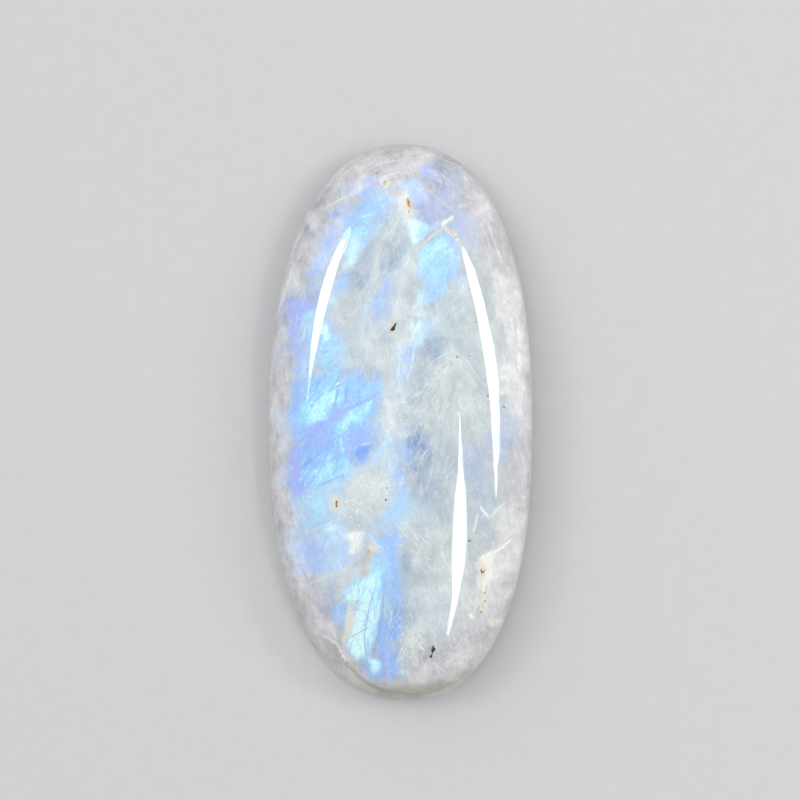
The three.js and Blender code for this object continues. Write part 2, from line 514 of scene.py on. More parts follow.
# The large flash left of the middle, with a violet edge, a white notch and a deep triangle.
LARGE_FLASH = [
    area("sky", 16, (294, 374), (311, 368), (334, 366), (350, 371), (361, 370), (369, 378), (378, 368),
         (384, 384), (382, 402), (374, 424), (373, 446), (367, 461), (352, 471), (334, 484), (315, 492),
         (297, 495), (291, 486), (290, 452), (296, 437), (291, 425), (291, 392)),
    area("periwinkle", 10, (291, 376), (299, 374), (300, 396), (296, 412), (292, 402)),
    area("cyan", 14, (302, 400), (316, 384), (336, 378), (346, 384), (338, 404), (324, 422), (306, 426)),
    area("cyan white", 9, (311, 422), (308, 413), (318, 400), (331, 389), (337, 396), (332, 411), (320, 421),
         strength=0.35),
    area("cyan", 7, (337, 427), (336, 420), (347, 412), (361, 404), (373, 392), (377, 398), (368, 417),
         (351, 430), (342, 432)),
    area("cyan white", 8, (340, 427), (343, 419), (353, 414), (358, 418), (348, 428), strength=0.35),
    area("sky", 8, (366, 382), (374, 384), (381, 380), (380, 400), (371, 404)),
    area("white", 3, (334, 384), (338, 381), (341, 383), (337, 387)),
    area("lavender", 8, (336, 370), (352, 364), (356, 374), (344, 380), strength=0.7),
    area("lavender", 9, (330, 414), (340, 408), (345, 414), (338, 422), strength=0.7),
    area("sky", 7, (344, 386), (352, 384), (354, 404), (346, 410), strength=0.7),
    area("periwinkle", 10, (352, 372), (366, 374), (366, 384), (354, 384), strength=0.7),
    area("violet", 9, (290, 447), (297, 441), (302, 452), (300, 474), (301, 492), (293, 496), (289, 474),
         strength=0.8),
    area("deep", 8, (293, 482), (299, 480), (300, 492), (294, 494), strength=0.5),
    area("periwinkle", 13, (298, 440), (314, 432), (334, 430), (338, 438), (332, 450), (316, 456),
         (300, 464)),
    area("periwinkle", 12, (345, 436), (362, 424), (372, 432), (370, 446), (356, 450), (346, 446)),
    area("lavender", 10, (346, 449), (357, 449), (360, 464), (350, 468), strength=0.7),
    area("deep", 4, (353, 447), (373, 444), (368, 456), (363, 467), (357, 458)),
    streak("pale lavender", 1.8, (359, 446), (365, 444), (371, 443), strength=0.8),
    area("cyan", 7, (319, 466), (332, 460), (344, 457), (346, 471), (328, 483), (315, 488), (312, 481)),
    area("cyan", 5, (326, 470), (342, 460), (344, 472), (326, 481)),
    area("cyan", 6, (314, 460), (319, 455), (324, 452), (320, 460), strength=0.9),
    streak("cyan", 4, (341, 438), (343, 450), (343, 462)),
    streak("cyan", 4, (305, 486), (312, 476), (318, 468)),
    *scattered("cyan", 2.0, 16, 12, 38, (300, 390), (335, 378), (366, 386), (362, 404), (318, 424)),
    *scattered("sky", 2.0, 26, 12, 34, (300, 380), (340, 372), (378, 380), (374, 404), (318, 426)),
    *scattered("deep", 1.5, 12, 14, 30, (298, 380), (340, 372), (376, 378), (372, 400), (312, 420)),
    *scattered("cyan", 2.0, 20, 12, 42, (296, 440), (340, 430), (352, 470), (316, 490), (300, 492)),
    *scattered("periwinkle", 2.6, 22, 12, 48, (292, 436), (340, 426), (366, 440), (356, 466), (300, 490)),
    streak("violet", 4, (299, 436), (314, 428), (324, 424), (333, 418), (348, 411), strength=0.8),
    streak("violet", 2.6, (340, 413), (350, 408), (358, 404), (370, 399), (378, 392)),
    streak("beige", 1.2, (297, 438), (302, 434), (309, 430), strength=0.3),
    area("violet", 8, (289, 450), (298, 445), (301, 462), (299, 476), (302, 493), (293, 497), (288, 474),
         strength=0.45),
    streak("sky", 3, (293, 463), (300, 457), (308, 450), strength=0.6),
    streak("cyan", 3, (297, 483), (303, 475), (309, 467), strength=0.6),
    area("cyan", 7, (318, 472), (332, 462), (347, 455), (350, 470), (336, 482), (318, 488), strength=0.8),
    streak("deep", 2.2, (300, 470), (306, 464), (322, 452), strength=0.7),
    streak("deep", 2.4, (313, 490), (320, 485), (330, 481), (345, 474), strength=0.8),
    streak("violet", 1.8, (337, 389), (335, 400), (335, 412), strength=0.6),
    streak("violet", 1.8, (347, 386), (346, 396), (344, 406), strength=0.5),
    streak("violet", 1.6, (358, 374), (358, 388), (359, 402), strength=0.5),
    streak("deep", 1.8, (307, 396), (314, 388), (318, 380), strength=0.7),
    streak("deep", 1.8, (310, 410), (316, 400), (322, 392), strength=0.6),
]

# Fainter blues under the large flash, with tan lines between them.
BELOW_LARGE_FLASH = [
    area("pale sky", 26, (297, 500), (320, 488), (348, 476), (348, 520), (352, 560), (330, 580), (312, 566),
         (302, 530)),
    area("sky", 18, (299, 500), (316, 492), (340, 482), (344, 496), (326, 512), (303, 522), strength=0.35),
    area("pale sky", 12, (306, 502), (320, 496), (332, 494), (330, 506), (314, 514), strength=0.7),
    area("cyan", 12, (306, 496), (318, 492), (322, 502), (312, 508), strength=0.7),
    area("pale sky", 10, (322, 488), (340, 481), (342, 490), (326, 497)),
    area("olive", 12, (326, 512), (332, 498), (340, 496), (342, 506), (334, 518), strength=0.7),
    area("sky", 11, (304, 518), (325, 511), (338, 512), (332, 522), (314, 530), (304, 528), strength=0.7),
    area("cyan", 8, (308, 526), (312, 518), (326, 513), (322, 521), (314, 529), strength=0.9),
    area("pale cyan", 9, (324, 527), (336, 527), (335, 536), (326, 537), strength=0.8),
    area("pale lavender", 14, (302, 536), (320, 531), (328, 540), (322, 562), (314, 572), (308, 556)),
    area("periwinkle", 12, (307, 538), (320, 534), (327, 543), (322, 562), (313, 566), strength=0.75),
    area("violet", 10, (310, 541), (319, 539), (322, 550), (317, 562), (312, 556), strength=0.35),
    area("sky", 14, (324, 540), (336, 536), (342, 545), (334, 558), (324, 560), strength=0.4),
    area("pale sky", 14, (332, 536), (346, 526), (348, 540), (342, 556), (330, 562), strength=0.9),
    area("pale lavender", 14, (316, 570), (330, 556), (350, 551), (354, 564), (334, 577), (320, 580)),
    area("pale sky", 10, (318, 572), (332, 560), (348, 553), (350, 562), (330, 576), strength=0.9),
    area("sky", 8, (312, 566), (324, 562), (322, 574), (314, 576), strength=0.7),
    streak("cream", 2.4, (292, 588), (308, 585), (322, 582), (340, 575), (354, 564), strength=0.8),
    streak("beige", 1.6, (303, 532), (318, 529), (328, 524), (340, 514), strength=0.35),
    streak("beige", 1.2, (298, 494), (306, 491), (314, 490), strength=0.4),
    area("cloud", 20, (303, 498), (336, 488), (342, 530), (346, 552), (322, 572), (306, 560), strength=0.2),
    *scattered("cyan", 1.8, 20, 12, 55, (304, 500), (340, 482), (344, 500), (306, 526)),
    *scattered("pale sky", 2.0, 20, 14, 40, (306, 540), (336, 534), (346, 560), (320, 574)),
]

# The flash shaped like a flame, near the bottom, and the deep band at its right.
FLAME = [
    area("pale sky", 18, (362, 560), (380, 550), (396, 556), (400, 580), (384, 604), (358, 590)),
    area("pale cyan", 14, (356, 570), (370, 563), (386, 566), (388, 584), (372, 592), (354, 586),
         strength=0.8),
    area("sky", 14, (387, 572), (400, 576), (407, 600), (408, 626), (401, 638), (396, 655), (401, 668),
         (388, 673), (370, 670), (378, 655), (381, 626), (387, 603)),
    area("deep", 10, (391, 588), (401, 590), (406, 608), (406, 628), (399, 642), (391, 646), (389, 618)),
    area("window", 12, (405, 590), (412, 600), (414, 630), (406, 640), (404, 616), strength=0.7),
    area("periwinkle", 9, (378, 624), (386, 618), (392, 640), (392, 672), (380, 674), (377, 650)),
    area("periwinkle", 8, (394, 581), (402, 583), (405, 592), (396, 592)),
    area("cyan", 8, (338, 597), (348, 586), (360, 575), (373, 567), (386, 571), (387, 590), (384, 610),
         (379, 626), (377, 644), (373, 657), (363, 663), (352, 658), (347, 648), (350, 634), (356, 617),
         (360, 603), (350, 600)),
    area("cyan white", 8, (345, 597), (357, 585), (371, 575), (380, 577), (376, 594), (372, 610), (371, 624),
         (371, 640), (368, 656), (356, 659), (350, 647), (352, 629), (358, 612), (362, 602), (352, 600),
         strength=0.85),
    area("cyan white", 8, (355, 609), (366, 602), (371, 614), (370, 636), (365, 656), (355, 657), (351, 646),
         (352, 630), strength=0.95),
    area("sky", 6, (333, 606), (346, 602), (348, 606), (342, 626), (338, 630), (331, 622), (329, 612)),
    area("violet", 6, (329, 612), (334, 612), (336, 624), (331, 622), strength=0.6),
    area("beige", 4, (348, 603), (354, 605), (354, 613), (349, 632), (344, 645), (341, 642), (343, 626),
         (346, 613)),
    area("periwinkle", 10, (362, 662), (372, 662), (384, 670), (370, 671), strength=0.8),
    area("cyan", 8, (371, 661), (379, 657), (385, 661), (382, 670), (373, 671), strength=0.8),
    area("periwinkle", 8, (388, 652), (398, 650), (399, 674), (389, 676), strength=0.4),
    *scattered("pale sky", 1.4, 14, 12, 6, (385, 648), (400, 648), (400, 678), (385, 678)),
    area("sky", 8, (404, 654), (411, 656), (410, 668), (405, 671), strength=0.6),
    area("cyan white", 3, (403, 669), (406, 669), (406, 673), (403, 673), strength=0.9),
    streak("lavender", 2, (386, 572), (383, 600), (378, 630), (375, 658)),
    streak("lavender", 1.6, (390, 606), (387, 626), (389, 652)),
    streak("lavender", 1.6, (386, 655), (385, 668), (386, 676)),
    area("cyan white", 6, (372, 662), (377, 660), (382, 663), (380, 670), (374, 671), strength=0.8),
    *scattered("deep", 1.6, 14, 14, 6, (386, 570), (404, 612), (398, 672), (378, 672), (380, 620)),
    *scattered("periwinkle", 2.0, 12, 16, 6, (382, 570), (402, 600), (402, 640), (396, 674), (376, 670)),
    *scattered("pale sky", 1.4, 18, 8, 8, (388, 596), (406, 600), (408, 636), (392, 650)),
    *scattered("cyan", 1.8, 20, 14, 14, (344, 596), (378, 584), (374, 640), (360, 658), (350, 648)),
    *scattered("sky", 1.8, 14, 14, 12, (356, 574), (384, 570), (380, 610), (364, 610)),
    streak("ochre", 1.4, (338, 606), (343, 601), (349, 602), strength=0.5),
    streak("mauve", 1.6, (339, 606), (336, 622), (334, 636), strength=0.7),
]

# Blue patches and windows down the middle.
MIDDLE_BLUES = [
    area("pale sky", 26, (376, 446), (396, 428), (412, 426), (416, 446), (410, 500), (406, 530), (388, 540),
         (382, 506), (374, 480), strength=0.45),
    area("lavender", 14, (366, 448), (382, 430), (392, 428), (384, 446), (372, 462), strength=0.6),
    area("cyan", 12, (378, 440), (392, 434), (394, 450), (382, 458), strength=0.5),
    area("grey", 18, (392, 436), (408, 432), (410, 478), (396, 484), strength=0.42),
    area("window", 10, (408, 428), (421, 422), (425, 440), (418, 458), (406, 456)),
    area("deep window", 8, (408, 432), (419, 425), (423, 440), (416, 457), (407, 455), strength=0.9),
    area("deep window", 3, (420, 452), (428, 448), (430, 458), (424, 462)),
    area("window", 14, (412, 468), (424, 464), (428, 482), (422, 497), (412, 494)),
    streak("milk", 1.2, (420, 458), (424, 454), (429, 450), strength=0.9),
    area("periwinkle", 8, (404, 454), (412, 455), (412, 463), (405, 465), strength=0.5),
    area("window", 17, (412, 474), (422, 470), (424, 492), (414, 494)),
    area("periwinkle", 9, (395, 436), (401, 434), (405, 454), (398, 458), strength=0.6),
    area("periwinkle", 12, (392, 468), (400, 464), (402, 478), (394, 484), strength=0.4),
    area("pale sky", 18, (380, 505), (400, 488), (408, 500), (404, 520), (394, 530), (378, 520),
         strength=0.8),
    area("sky", 14, (386, 500), (400, 492), (403, 508), (392, 520), strength=0.6),
    area("cyan", 14, (372, 520), (384, 514), (392, 522), (384, 534), (374, 532), strength=0.8),
    area("sky", 14, (368, 540), (384, 525), (397, 530), (403, 546), (402, 580), (396, 602), (382, 572)),
    area("periwinkle", 11, (380, 534), (392, 532), (400, 544), (396, 554), (386, 546), strength=0.9),
    area("pale sky", 10, (378, 556), (390, 552), (394, 566), (386, 576), strength=0.7),
    area("deep", 12, (389, 558), (396, 557), (401, 572), (400, 592), (393, 592), (390, 574), strength=0.6),
    area("window", 14, (401, 552), (411, 552), (414, 576), (410, 596), (403, 590), strength=0.9),
    *scattered("milk", 1.6, 26, 12, 25, (392, 440), (424, 426), (426, 470), (404, 500), (390, 500)),
    *scattered("periwinkle", 2.0, 6, 12, 20, (392, 440), (408, 432), (406, 470), (396, 490)),
    *scattered("pale cyan", 2.0, 10, 12, 20, (384, 450), (404, 440), (404, 500), (384, 510)),
    streak("pale cyan", 2.4, (368, 536), (375, 542), (383, 549), strength=0.8),
    streak("ochre", 1.2, (367, 539), (374, 546), (382, 551), strength=0.5),
    streak("sky", 3, (378, 368), (378, 378), (377, 388)),
    area("cloud", 16, (392, 332), (412, 330), (413, 366), (406, 398), (393, 396), strength=0.8),
    area("pale sky", 14, (394, 344), (411, 340), (411, 376), (404, 398), (395, 390), strength=0.55),
    area("periwinkle", 8, (409, 346), (417, 349), (416, 362), (411, 374), (407, 362), strength=0.6),
    streak("white", 1.4, (400, 356), (399, 374), (398, 392), strength=0.6),
    streak("white", 1.4, (413, 352), (411, 366), (408, 380), strength=0.6),
]

# The lobes at the top and at the upper right.
UPPER_RIGHT_FLASH = [
    area("pale sky", 8, (402, 184), (409, 179), (417, 179), (424, 184), (428, 192), (430, 199), (421, 205),
         (412, 201), (405, 192)),
    area("pale lavender", 9, (411, 197), (426, 189), (431, 200), (421, 207), strength=0.9),
    streak("pale cyan", 3, (417, 187), (421, 191), (424, 196), strength=0.4),
    area("lavender", 10, (413, 205), (430, 200), (440, 205), (450, 214), (440, 221), (426, 224), (414, 216)),
    area("periwinkle", 9, (419, 172), (427, 168), (438, 176), (434, 181), (423, 178), strength=0.7),
    area("window", 10, (420, 178), (432, 179), (444, 182), (441, 187), (426, 184), strength=0.7),
    area("window", 12, (436, 161), (450, 163), (453, 171), (440, 170), strength=0.4),
    streak("pale lavender", 2.8, (425, 168), (434, 174), (444, 181)),
    area("pale cyan", 4, (409, 216), (430, 225), (431, 229), (418, 246), (415, 240), (411, 226)),
    area("sky", 5, (425, 225), (431, 227), (425, 237), (420, 241), (421, 232), strength=0.5),
    streak("pale lavender", 5, (441, 219), (433, 228), (422, 242)),
    streak("milk", 1.4, (430, 229), (425, 236), (420, 243), strength=0.8),
    area("sky", 8, (418, 252), (429, 242), (442, 234), (450, 238), (456, 246), (460, 256), (461, 268),
         (457, 280), (449, 288), (440, 294), (430, 300), (420, 300), (425, 284), (421, 268), strength=0.85),
    area("cyan", 10, (420, 254), (434, 242), (446, 236), (452, 244), (444, 252), (430, 262), (423, 266),
         strength=0.8),
    area("cyan", 10, (427, 270), (440, 263), (451, 268), (444, 282), (431, 286), strength=0.6),
    area("pale lavender", 10, (450, 242), (459, 250), (462, 270), (454, 286), (448, 268), strength=0.6),
    area("pale cyan", 14, (420, 256), (432, 245), (444, 238), (452, 248), (448, 268), (436, 284), (426, 280),
         strength=0.25),
    area("sky", 12, (430, 256), (442, 250), (450, 262), (444, 276), (430, 278), (425, 268), strength=0.35),
    area("pale sky", 10, (450, 248), (458, 254), (461, 268), (453, 284), (446, 284), (451, 266)),
    area("sky", 10, (420, 288), (434, 284), (446, 288), (443, 300), (431, 307), (421, 302), strength=0.85),
    area("pale lavender", 14, (455, 212), (474, 214), (482, 240), (474, 262), (462, 240), strength=0.5),
    area("pale sky", 12, (455, 284), (466, 274), (468, 284), (460, 290), strength=0.8),
    *scattered("pale cyan", 2.4, 9, 10, 62, (420, 256), (446, 236), (458, 262), (430, 296)),
    *scattered("sky", 2.2, 10, 10, 58, (422, 258), (446, 238), (460, 264), (430, 298)),
    *scattered("pale sky", 2.2, 8, 10, -20, (424, 288), (452, 284), (444, 304), (424, 306)),
]

# Veils like petals, which hang from the top.
PETALS = [
    area("grey", 7, (395, 212), (382, 224), (366, 250), (352, 276), (346, 296), (356, 300), (366, 288),
         (378, 252), (397, 220), strength=0.7),
    area("window", 12, (360, 260), (369, 252), (371, 268), (362, 286), (354, 288), strength=0.6),
    area("milk", 6, (398, 210), (382, 240), (374, 262), (369, 288), (376, 288), (388, 256), (402, 220)),
    area("periwinkle", 9, (384, 272), (394, 274), (392, 290), (384, 304), (375, 314), (371, 310), (379, 292),
         strength=0.75),
    area("sky", 7, (380, 284), (386, 284), (380, 300), (374, 308), strength=0.5),
    area("lavender", 8, (390, 284), (399, 283), (396, 300), (392, 320), (386, 318), strength=0.6),
    area("mauve", 10, (398, 296), (409, 296), (407, 330), (398, 336), strength=0.6),
    area("window", 12, (384, 248), (396, 240), (398, 254), (390, 268), (383, 266), strength=0.6),
    area("milk", 7, (414, 244), (406, 262), (396, 300), (393, 318), (402, 318), (414, 276), (418, 252)),
    area("milk", 8, (402, 196), (410, 198), (412, 212), (408, 226), (402, 216), strength=0.8),
    area("olive", 20, (338, 298), (352, 292), (364, 298), (358, 314), (348, 326), (338, 320), strength=0.7),
    *scattered("milk", 1.6, 18, 16, 24, (352, 290), (394, 216), (412, 240), (390, 316)),
    *scattered("window", 1.8, 14, 16, 24, (352, 290), (394, 220), (408, 244), (384, 316)),
]

# Grey streaks, clouds and sugary patches down the middle.
PALE_MIDDLE = [
    area("grey", 18, (356, 326), (380, 324), (382, 352), (378, 370), (364, 374), (356, 352), strength=0.7),
    area("mauve", 16, (359, 328), (379, 326), (380, 352), (377, 366), (366, 370), (359, 352), strength=0.7),
    area("grey", 10, (366, 362), (378, 360), (378, 375), (369, 379), strength=0.9),
    area("olive", 8, (386, 318), (402, 316), (410, 322), (410, 336), (398, 336), (390, 330), strength=0.6),
    area("olive", 6, (383, 346), (390, 334), (393, 350), (392, 390), (385, 396), (383, 370), strength=0.7),
    area("milk", 8, (381, 344), (384, 344), (383, 362), (380, 366), strength=0.9),
    streak("milk", 2.4, (383, 342), (382, 352), (380, 364), strength=0.8),
    area("pale sky", 14, (420, 300), (434, 298), (436, 316), (430, 334), (420, 344), (416, 330),
         strength=0.6),
    area("pale cyan", 8, (414, 284), (426, 286), (427, 312), (422, 332), (418, 348), (413, 346), (413, 306),
         strength=0.9),
    area("white", 4, (413, 292), (417, 300), (417, 322), (415, 340), (411, 336), (411, 308), strength=0.5),
    area("pale sky", 16, (422, 298), (440, 296), (442, 312), (434, 330), (426, 336), strength=0.35),
    area("cloud", 15, (382, 402), (392, 396), (404, 398), (408, 412), (398, 432), (386, 432), (380, 418)),
    area("crystal", 12, (384, 402), (399, 400), (405, 414), (396, 426), (384, 422), strength=0.8),
    area("cream", 8, (396, 410), (405, 410), (406, 420), (398, 424), strength=0.7),
    area("cloud", 18, (384, 440), (396, 436), (384, 462), (366, 488), (350, 506), (345, 496), (366, 466),
         strength=0.8),
    streak("pale sky", 6, (392, 436), (382, 450), (372, 462), strength=0.9),
    area("crystal", 20, (347, 498), (358, 484), (370, 474), (384, 484), (380, 506), (364, 514), (348, 516),
         strength=0.8),
    area("cream", 12, (338, 506), (348, 490), (356, 492), (352, 512), (342, 520), strength=0.8),
    area("cream", 20, (346, 494), (366, 476), (386, 470), (384, 504), (362, 520), (346, 516), strength=0.5),
    area("grey", 16, (344, 514), (368, 514), (374, 526), (366, 538), (350, 536), (343, 528), strength=0.8),
    area("cream", 10, (368, 508), (378, 500), (384, 508), (380, 524), (370, 522), strength=0.6),
    area("ivory", 7, (345, 536), (352, 532), (361, 534), (364, 540), (358, 552), (356, 558), (347, 555),
         (350, 547)),
    streak("white", 3, (360, 536), (356, 542), (353, 549), strength=0.8),
    streak("white", 2, (351, 536), (351, 543), (350, 552), strength=0.7),
    streak("olive", 1.1, (355, 536), (353, 544), (351, 553), strength=0.5),
    streak("olive", 1.1, (359, 538), (356, 546), (354, 554), strength=0.4),
    area("pale cyan", 6, (359, 537), (363, 540), (362, 552), (358, 553), strength=0.8),
    area("milk", 12, (344, 556), (358, 556), (360, 572), (352, 576), strength=0.5),
    area("olive", 7, (364, 541), (372, 543), (383, 551), (372, 557), (370, 572), (361, 582), (357, 570),
         (361, 552)),
    area("beige", 5, (372, 544), (382, 550), (374, 552), (368, 549), strength=0.8),
    area("cream", 12, (334, 580), (346, 572), (354, 566), (352, 580), (342, 596), (334, 598), strength=0.8),
    *scattered("milk", 1.6, 10, 8, 10, (382, 334), (394, 332), (392, 392), (382, 396)),
    *scattered("milk", 1.4, 12, 12, 4, (360, 330), (380, 330), (380, 372), (362, 372)),
]

# The white tent right of the middle: veils that fall to both sides of its tip.
TENT = [
    area("milk", 19, (452, 348), (482, 386), (486, 420), (480, 450), (440, 430), (426, 420), (424, 396),
         strength=0.7),
    streak("milk", 3, (452, 352), (466, 360), (480, 372), strength=0.7),
    area("cloud", 10, (449, 345), (456, 346), (455, 356), (448, 354), strength=0.8),
    streak("dark", 2, (447, 322), (449, 316), strength=0.6),
    streak("mauve", 6, (446, 384), (445, 400), (444, 416), strength=0.7),
    streak("grey", 3, (440, 430), (439, 460), (438, 480), strength=0.6),
    area("cloud", 11, (460, 282), (468, 282), (474, 292), (470, 302), (462, 300)),
    streak("dark", 1.6, (441, 369), (446, 365), (452, 366), strength=0.5),
    streak("dark", 1.4, (453, 362), (457, 357), (460, 359), strength=0.4),
    area("window", 10, (455, 320), (462, 312), (472, 305), (475, 313), (467, 322), (458, 328), strength=0.6),
    area("window", 11, (462, 337), (474, 340), (484, 346), (484, 354), (472, 353), (463, 347), strength=0.65),
    area("window", 10, (470, 365), (479, 366), (486, 388), (483, 394), (476, 384), strength=0.7),
    *scattered("milk", 2.0, 26, 20, 38, (452, 350), (424, 360), (408, 410), (420, 470), (440, 440)),
    *scattered("milk", 2.0, 26, 20, -34, (454, 350), (476, 366), (492, 420), (486, 460), (452, 440)),
    *scattered("grey", 2.0, 22, 18, 8, (436, 380), (470, 380), (476, 470), (440, 520), (424, 470)),
    *scattered("milk", 2.0, 30, 22, 16, (420, 450), (452, 440), (452, 600), (412, 620), (410, 520)),
]

# Veins across the top.
UPPER_RIGHT_VEINS = [
    streak("grey", 7, (452, 218), (440, 226), (426, 238), (412, 256), strength=0.8),
    streak("cream", 4, (448, 224), (437, 231), (424, 242), (410, 258), strength=0.7),
    streak("cream", 5, (449, 227), (456, 236), (461, 246), strength=0.8),
    streak("brown", 3, (440, 155), (454, 160), (466, 168), (476, 180), strength=0.8),
    streak("milk", 3, (484, 214), (494, 240), (501, 262)),
    streak("milk", 2.2, (366, 172), (382, 160), (400, 155)),
    streak("grey", 2.0, (370, 186), (386, 180), (404, 178), strength=0.7),
    streak("milk", 3, (286, 262), (298, 236), (312, 214), strength=0.7),
    streak("milk", 4, (280, 310), (288, 280), (300, 250), strength=0.7),
    streak("milk", 3, (430, 188), (444, 200), (456, 212), strength=0.6),
    streak("milk", 3, (460, 206), (470, 202), (482, 210), strength=0.7),
]

# Clouds and wisps down the right side.
LOWER_RIGHT = [
    area("cloud", 24, (486, 262), (502, 270), (520, 320), (526, 380), (516, 408), (498, 408), (492, 350),
         strength=0.75),
    area("milk", 24, (462, 296), (478, 310), (484, 380), (484, 430), (470, 420), (462, 360), strength=0.4),
    area("white", 16, (494, 288), (508, 286), (518, 320), (522, 400), (506, 408), (500, 360), strength=0.3),
    area("window", 12, (495, 325), (505, 322), (510, 344), (504, 356), (497, 346), strength=0.55),
    area("mauve", 10, (492, 322), (500, 322), (502, 336), (494, 338), strength=0.5),
    area("cloud", 16, (508, 270), (520, 300), (530, 360), (533, 430), (530, 500), (520, 552), (514, 540),
         (518, 460), (518, 380), (512, 320), strength=0.5),
    area("cloud", 24, (500, 530), (520, 520), (512, 580), (492, 616), (476, 640), (474, 610), strength=0.35),
    area("milk", 40, (414, 540), (450, 530), (476, 556), (482, 600), (470, 640), (440, 654), (412, 634),
         (404, 600), strength=0.55),
    area("cloud", 24, (426, 586), (452, 584), (456, 620), (440, 632), (426, 624), strength=0.3),
    area("cloud", 13, (399, 528), (408, 522), (434, 546), (450, 562), (452, 574), (424, 556), strength=0.8),
    area("cloud", 10, (489, 521), (500, 508), (514, 507), (515, 530), (504, 538), (494, 530)),
    streak("white", 2.6, (480, 508), (485, 514), (489, 520), strength=0.7),
    streak("white", 2.6, (501, 506), (495, 513), (489, 520), strength=0.5),
    streak("white", 1.8, (478, 514), (476, 524), (473, 534), strength=0.7),
    area("dark", 3, (468, 538), (471, 539), (472, 543), (469, 543), strength=0.7),
    streak("milk", 4, (520, 520), (512, 545), (500, 572), strength=0.8),
    area("milk", 10, (512, 538), (520, 524), (524, 540), (510, 580), (496, 600), (494, 576), (504, 556),
         strength=0.9),
    area("ivory", 9, (480, 556), (494, 552), (497, 562), (494, 574), (486, 588), (481, 580), (479, 566)),
    area("cloud", 15, (496, 560), (508, 552), (510, 566), (502, 580), (494, 584), strength=0.8),
    streak("white", 3, (513, 538), (503, 547), (492, 552), (480, 557), strength=0.9),
    area("beige", 7, (479, 564), (486, 562), (489, 574), (485, 582), (479, 578), strength=0.8),
    streak("beige", 4, (488, 580), (487, 592), (485, 603), (481, 613), strength=0.8),
    area("cloud", 6, (415, 634), (422, 634), (424, 642), (418, 643)),
    area("white", 4, (418, 644), (422, 644), (422, 650), (418, 649)),
    area("crystal", 14, (402, 638), (414, 630), (424, 640), (426, 656), (416, 670), (404, 664), strength=0.6),
    area("cloud", 19, (404, 640), (412, 634), (422, 640), (424, 656), (416, 668), (406, 662), strength=0.8),
    area("cloud", 11, (440, 660), (452, 653), (465, 651), (464, 660), (450, 670), (440, 670), strength=0.9),
    streak("white", 2.4, (471, 614), (475, 617)),
    streak("milk", 2.4, (470, 628), (474, 625), (478, 620), strength=0.7),
    *scattered("milk", 2.2, 24, 16, -40, (470, 590), (500, 560), (506, 580), (470, 650), (440, 676)),
]

# The bevel of the back, seen through the bottom edge, with cream, olive, brown and ochre marks, and thin
# ivory lines of painted reflection along its edge.
BACK_BEVEL = [
    area("cream", 9, (312, 642), (330, 660), (350, 676), (374, 690), (404, 696), (440, 692), (470, 676),
         (474, 682), (444, 702), (404, 706), (360, 698), (326, 674), strength=0.9),
    area("olive", 4, (320, 638), (332, 640), (340, 649), (344, 662), (337, 660), (325, 649)),
    streak("brown", 5, (342, 659), (353, 669), (364, 679), (376, 687), (396, 692), strength=0.8),
    streak("brown", 4, (390, 691), (410, 694), (432, 692), (456, 684), strength=0.6),
    # Thin ivory lines of painted reflection along the bevel's edge.
    streak("ivory", 1.5, (319, 637), (326, 638), (333, 641), (339, 649), strength=0.7),
    streak("ivory", 1.5, (338, 648), (342, 656), (345, 662), strength=0.7),
    streak("cream", 2, (345, 662), (358, 672), (370, 681), (384, 687), strength=0.5),
    area("ochre", 3, (325, 643), (328, 644), (328, 647), (325, 646), strength=0.5),
    area("ochre", 3, (353, 669), (357, 671), (356, 673), (352, 671), strength=0.4),
]

# Rusty, ivory and grey stains.
STAINS = [
    area("ivory", 5, (379, 179), (388, 178), (389, 185), (381, 188), strength=0.5),
    area("ochre", 3, (383, 180), (387, 180), (386, 184), (382, 185), strength=0.7),
    streak("ochre", 1.6, (383, 184), (381, 187), strength=0.6),
    streak("ivory", 2, (385, 189), (389, 195), (392, 201), strength=0.5),
    area("ivory", 10, (398, 196), (409, 198), (411, 217), (404, 218), (398, 208), strength=0.7),
    area("beige", 6, (403, 206), (411, 206), (412, 216), (405, 217), strength=0.5),
    streak("orange", 3, (408, 198), (409, 204), (410, 209), strength=0.8),
    streak("orange", 1.6, (409, 211), (410, 214), strength=0.6),
    area("ochre", 3, (389, 325), (393, 326), (392, 331), (389, 331), strength=0.8),
    streak("beige", 2, (412, 326), (413, 332), strength=0.7),
    area("beige", 7, (330, 496), (340, 495), (346, 502), (342, 512), (332, 510), strength=0.6),
    area("ochre", 3, (335, 500), (338, 500), (338, 508), (335, 508), strength=0.7),
    area("ochre", 4, (481, 567), (485, 567), (485, 575), (481, 575), strength=0.4),
    streak("beige", 3.4, (446, 226), (452, 233), (459, 241), strength=0.8),
    streak("orange", 1.8, (487, 584), (486, 594), (484, 602), (481, 612), strength=0.35),
    streak("ochre", 1.6, (508, 300), (510, 305), strength=0.6),
    streak("ochre", 2.2, (511, 312), (513, 317), strength=0.35),
    streak("ochre", 2, (338, 584), (339, 590), strength=0.5),
    streak("tan", 2, (369, 551), (369, 554), strength=0.7),
    streak("tan", 2, (387, 487), (386, 490), strength=0.6),
    streak("tan", 2, (396, 491), (396, 493), strength=0.6),
    streak("beige", 3, (378, 492), (374, 498), (372, 504), strength=0.7),
    streak("ochre", 1.8, (372, 505), (373, 510), strength=0.5),
    area("mauve", 8, (330, 313), (341, 311), (343, 321), (334, 324), strength=0.8),
    area("grey", 12, (341, 302), (356, 300), (360, 314), (348, 320), strength=0.6),
    streak("ochre", 1.2, (350, 302), (353, 306), (352, 310), strength=0.3),
    streak("ochre", 1.4, (335, 316), (339, 320), (340, 325), strength=0.3),
    streak("ochre", 1.6, (345, 316), (346, 319), strength=0.6),
    streak("tan", 1.6, (467, 553), (466, 562), strength=0.4),
    streak("tan", 1.6, (465, 566), (465, 573), strength=0.3),
    streak("white", 4.2, (443, 224), (448, 220), (454, 216), strength=0.9),
]

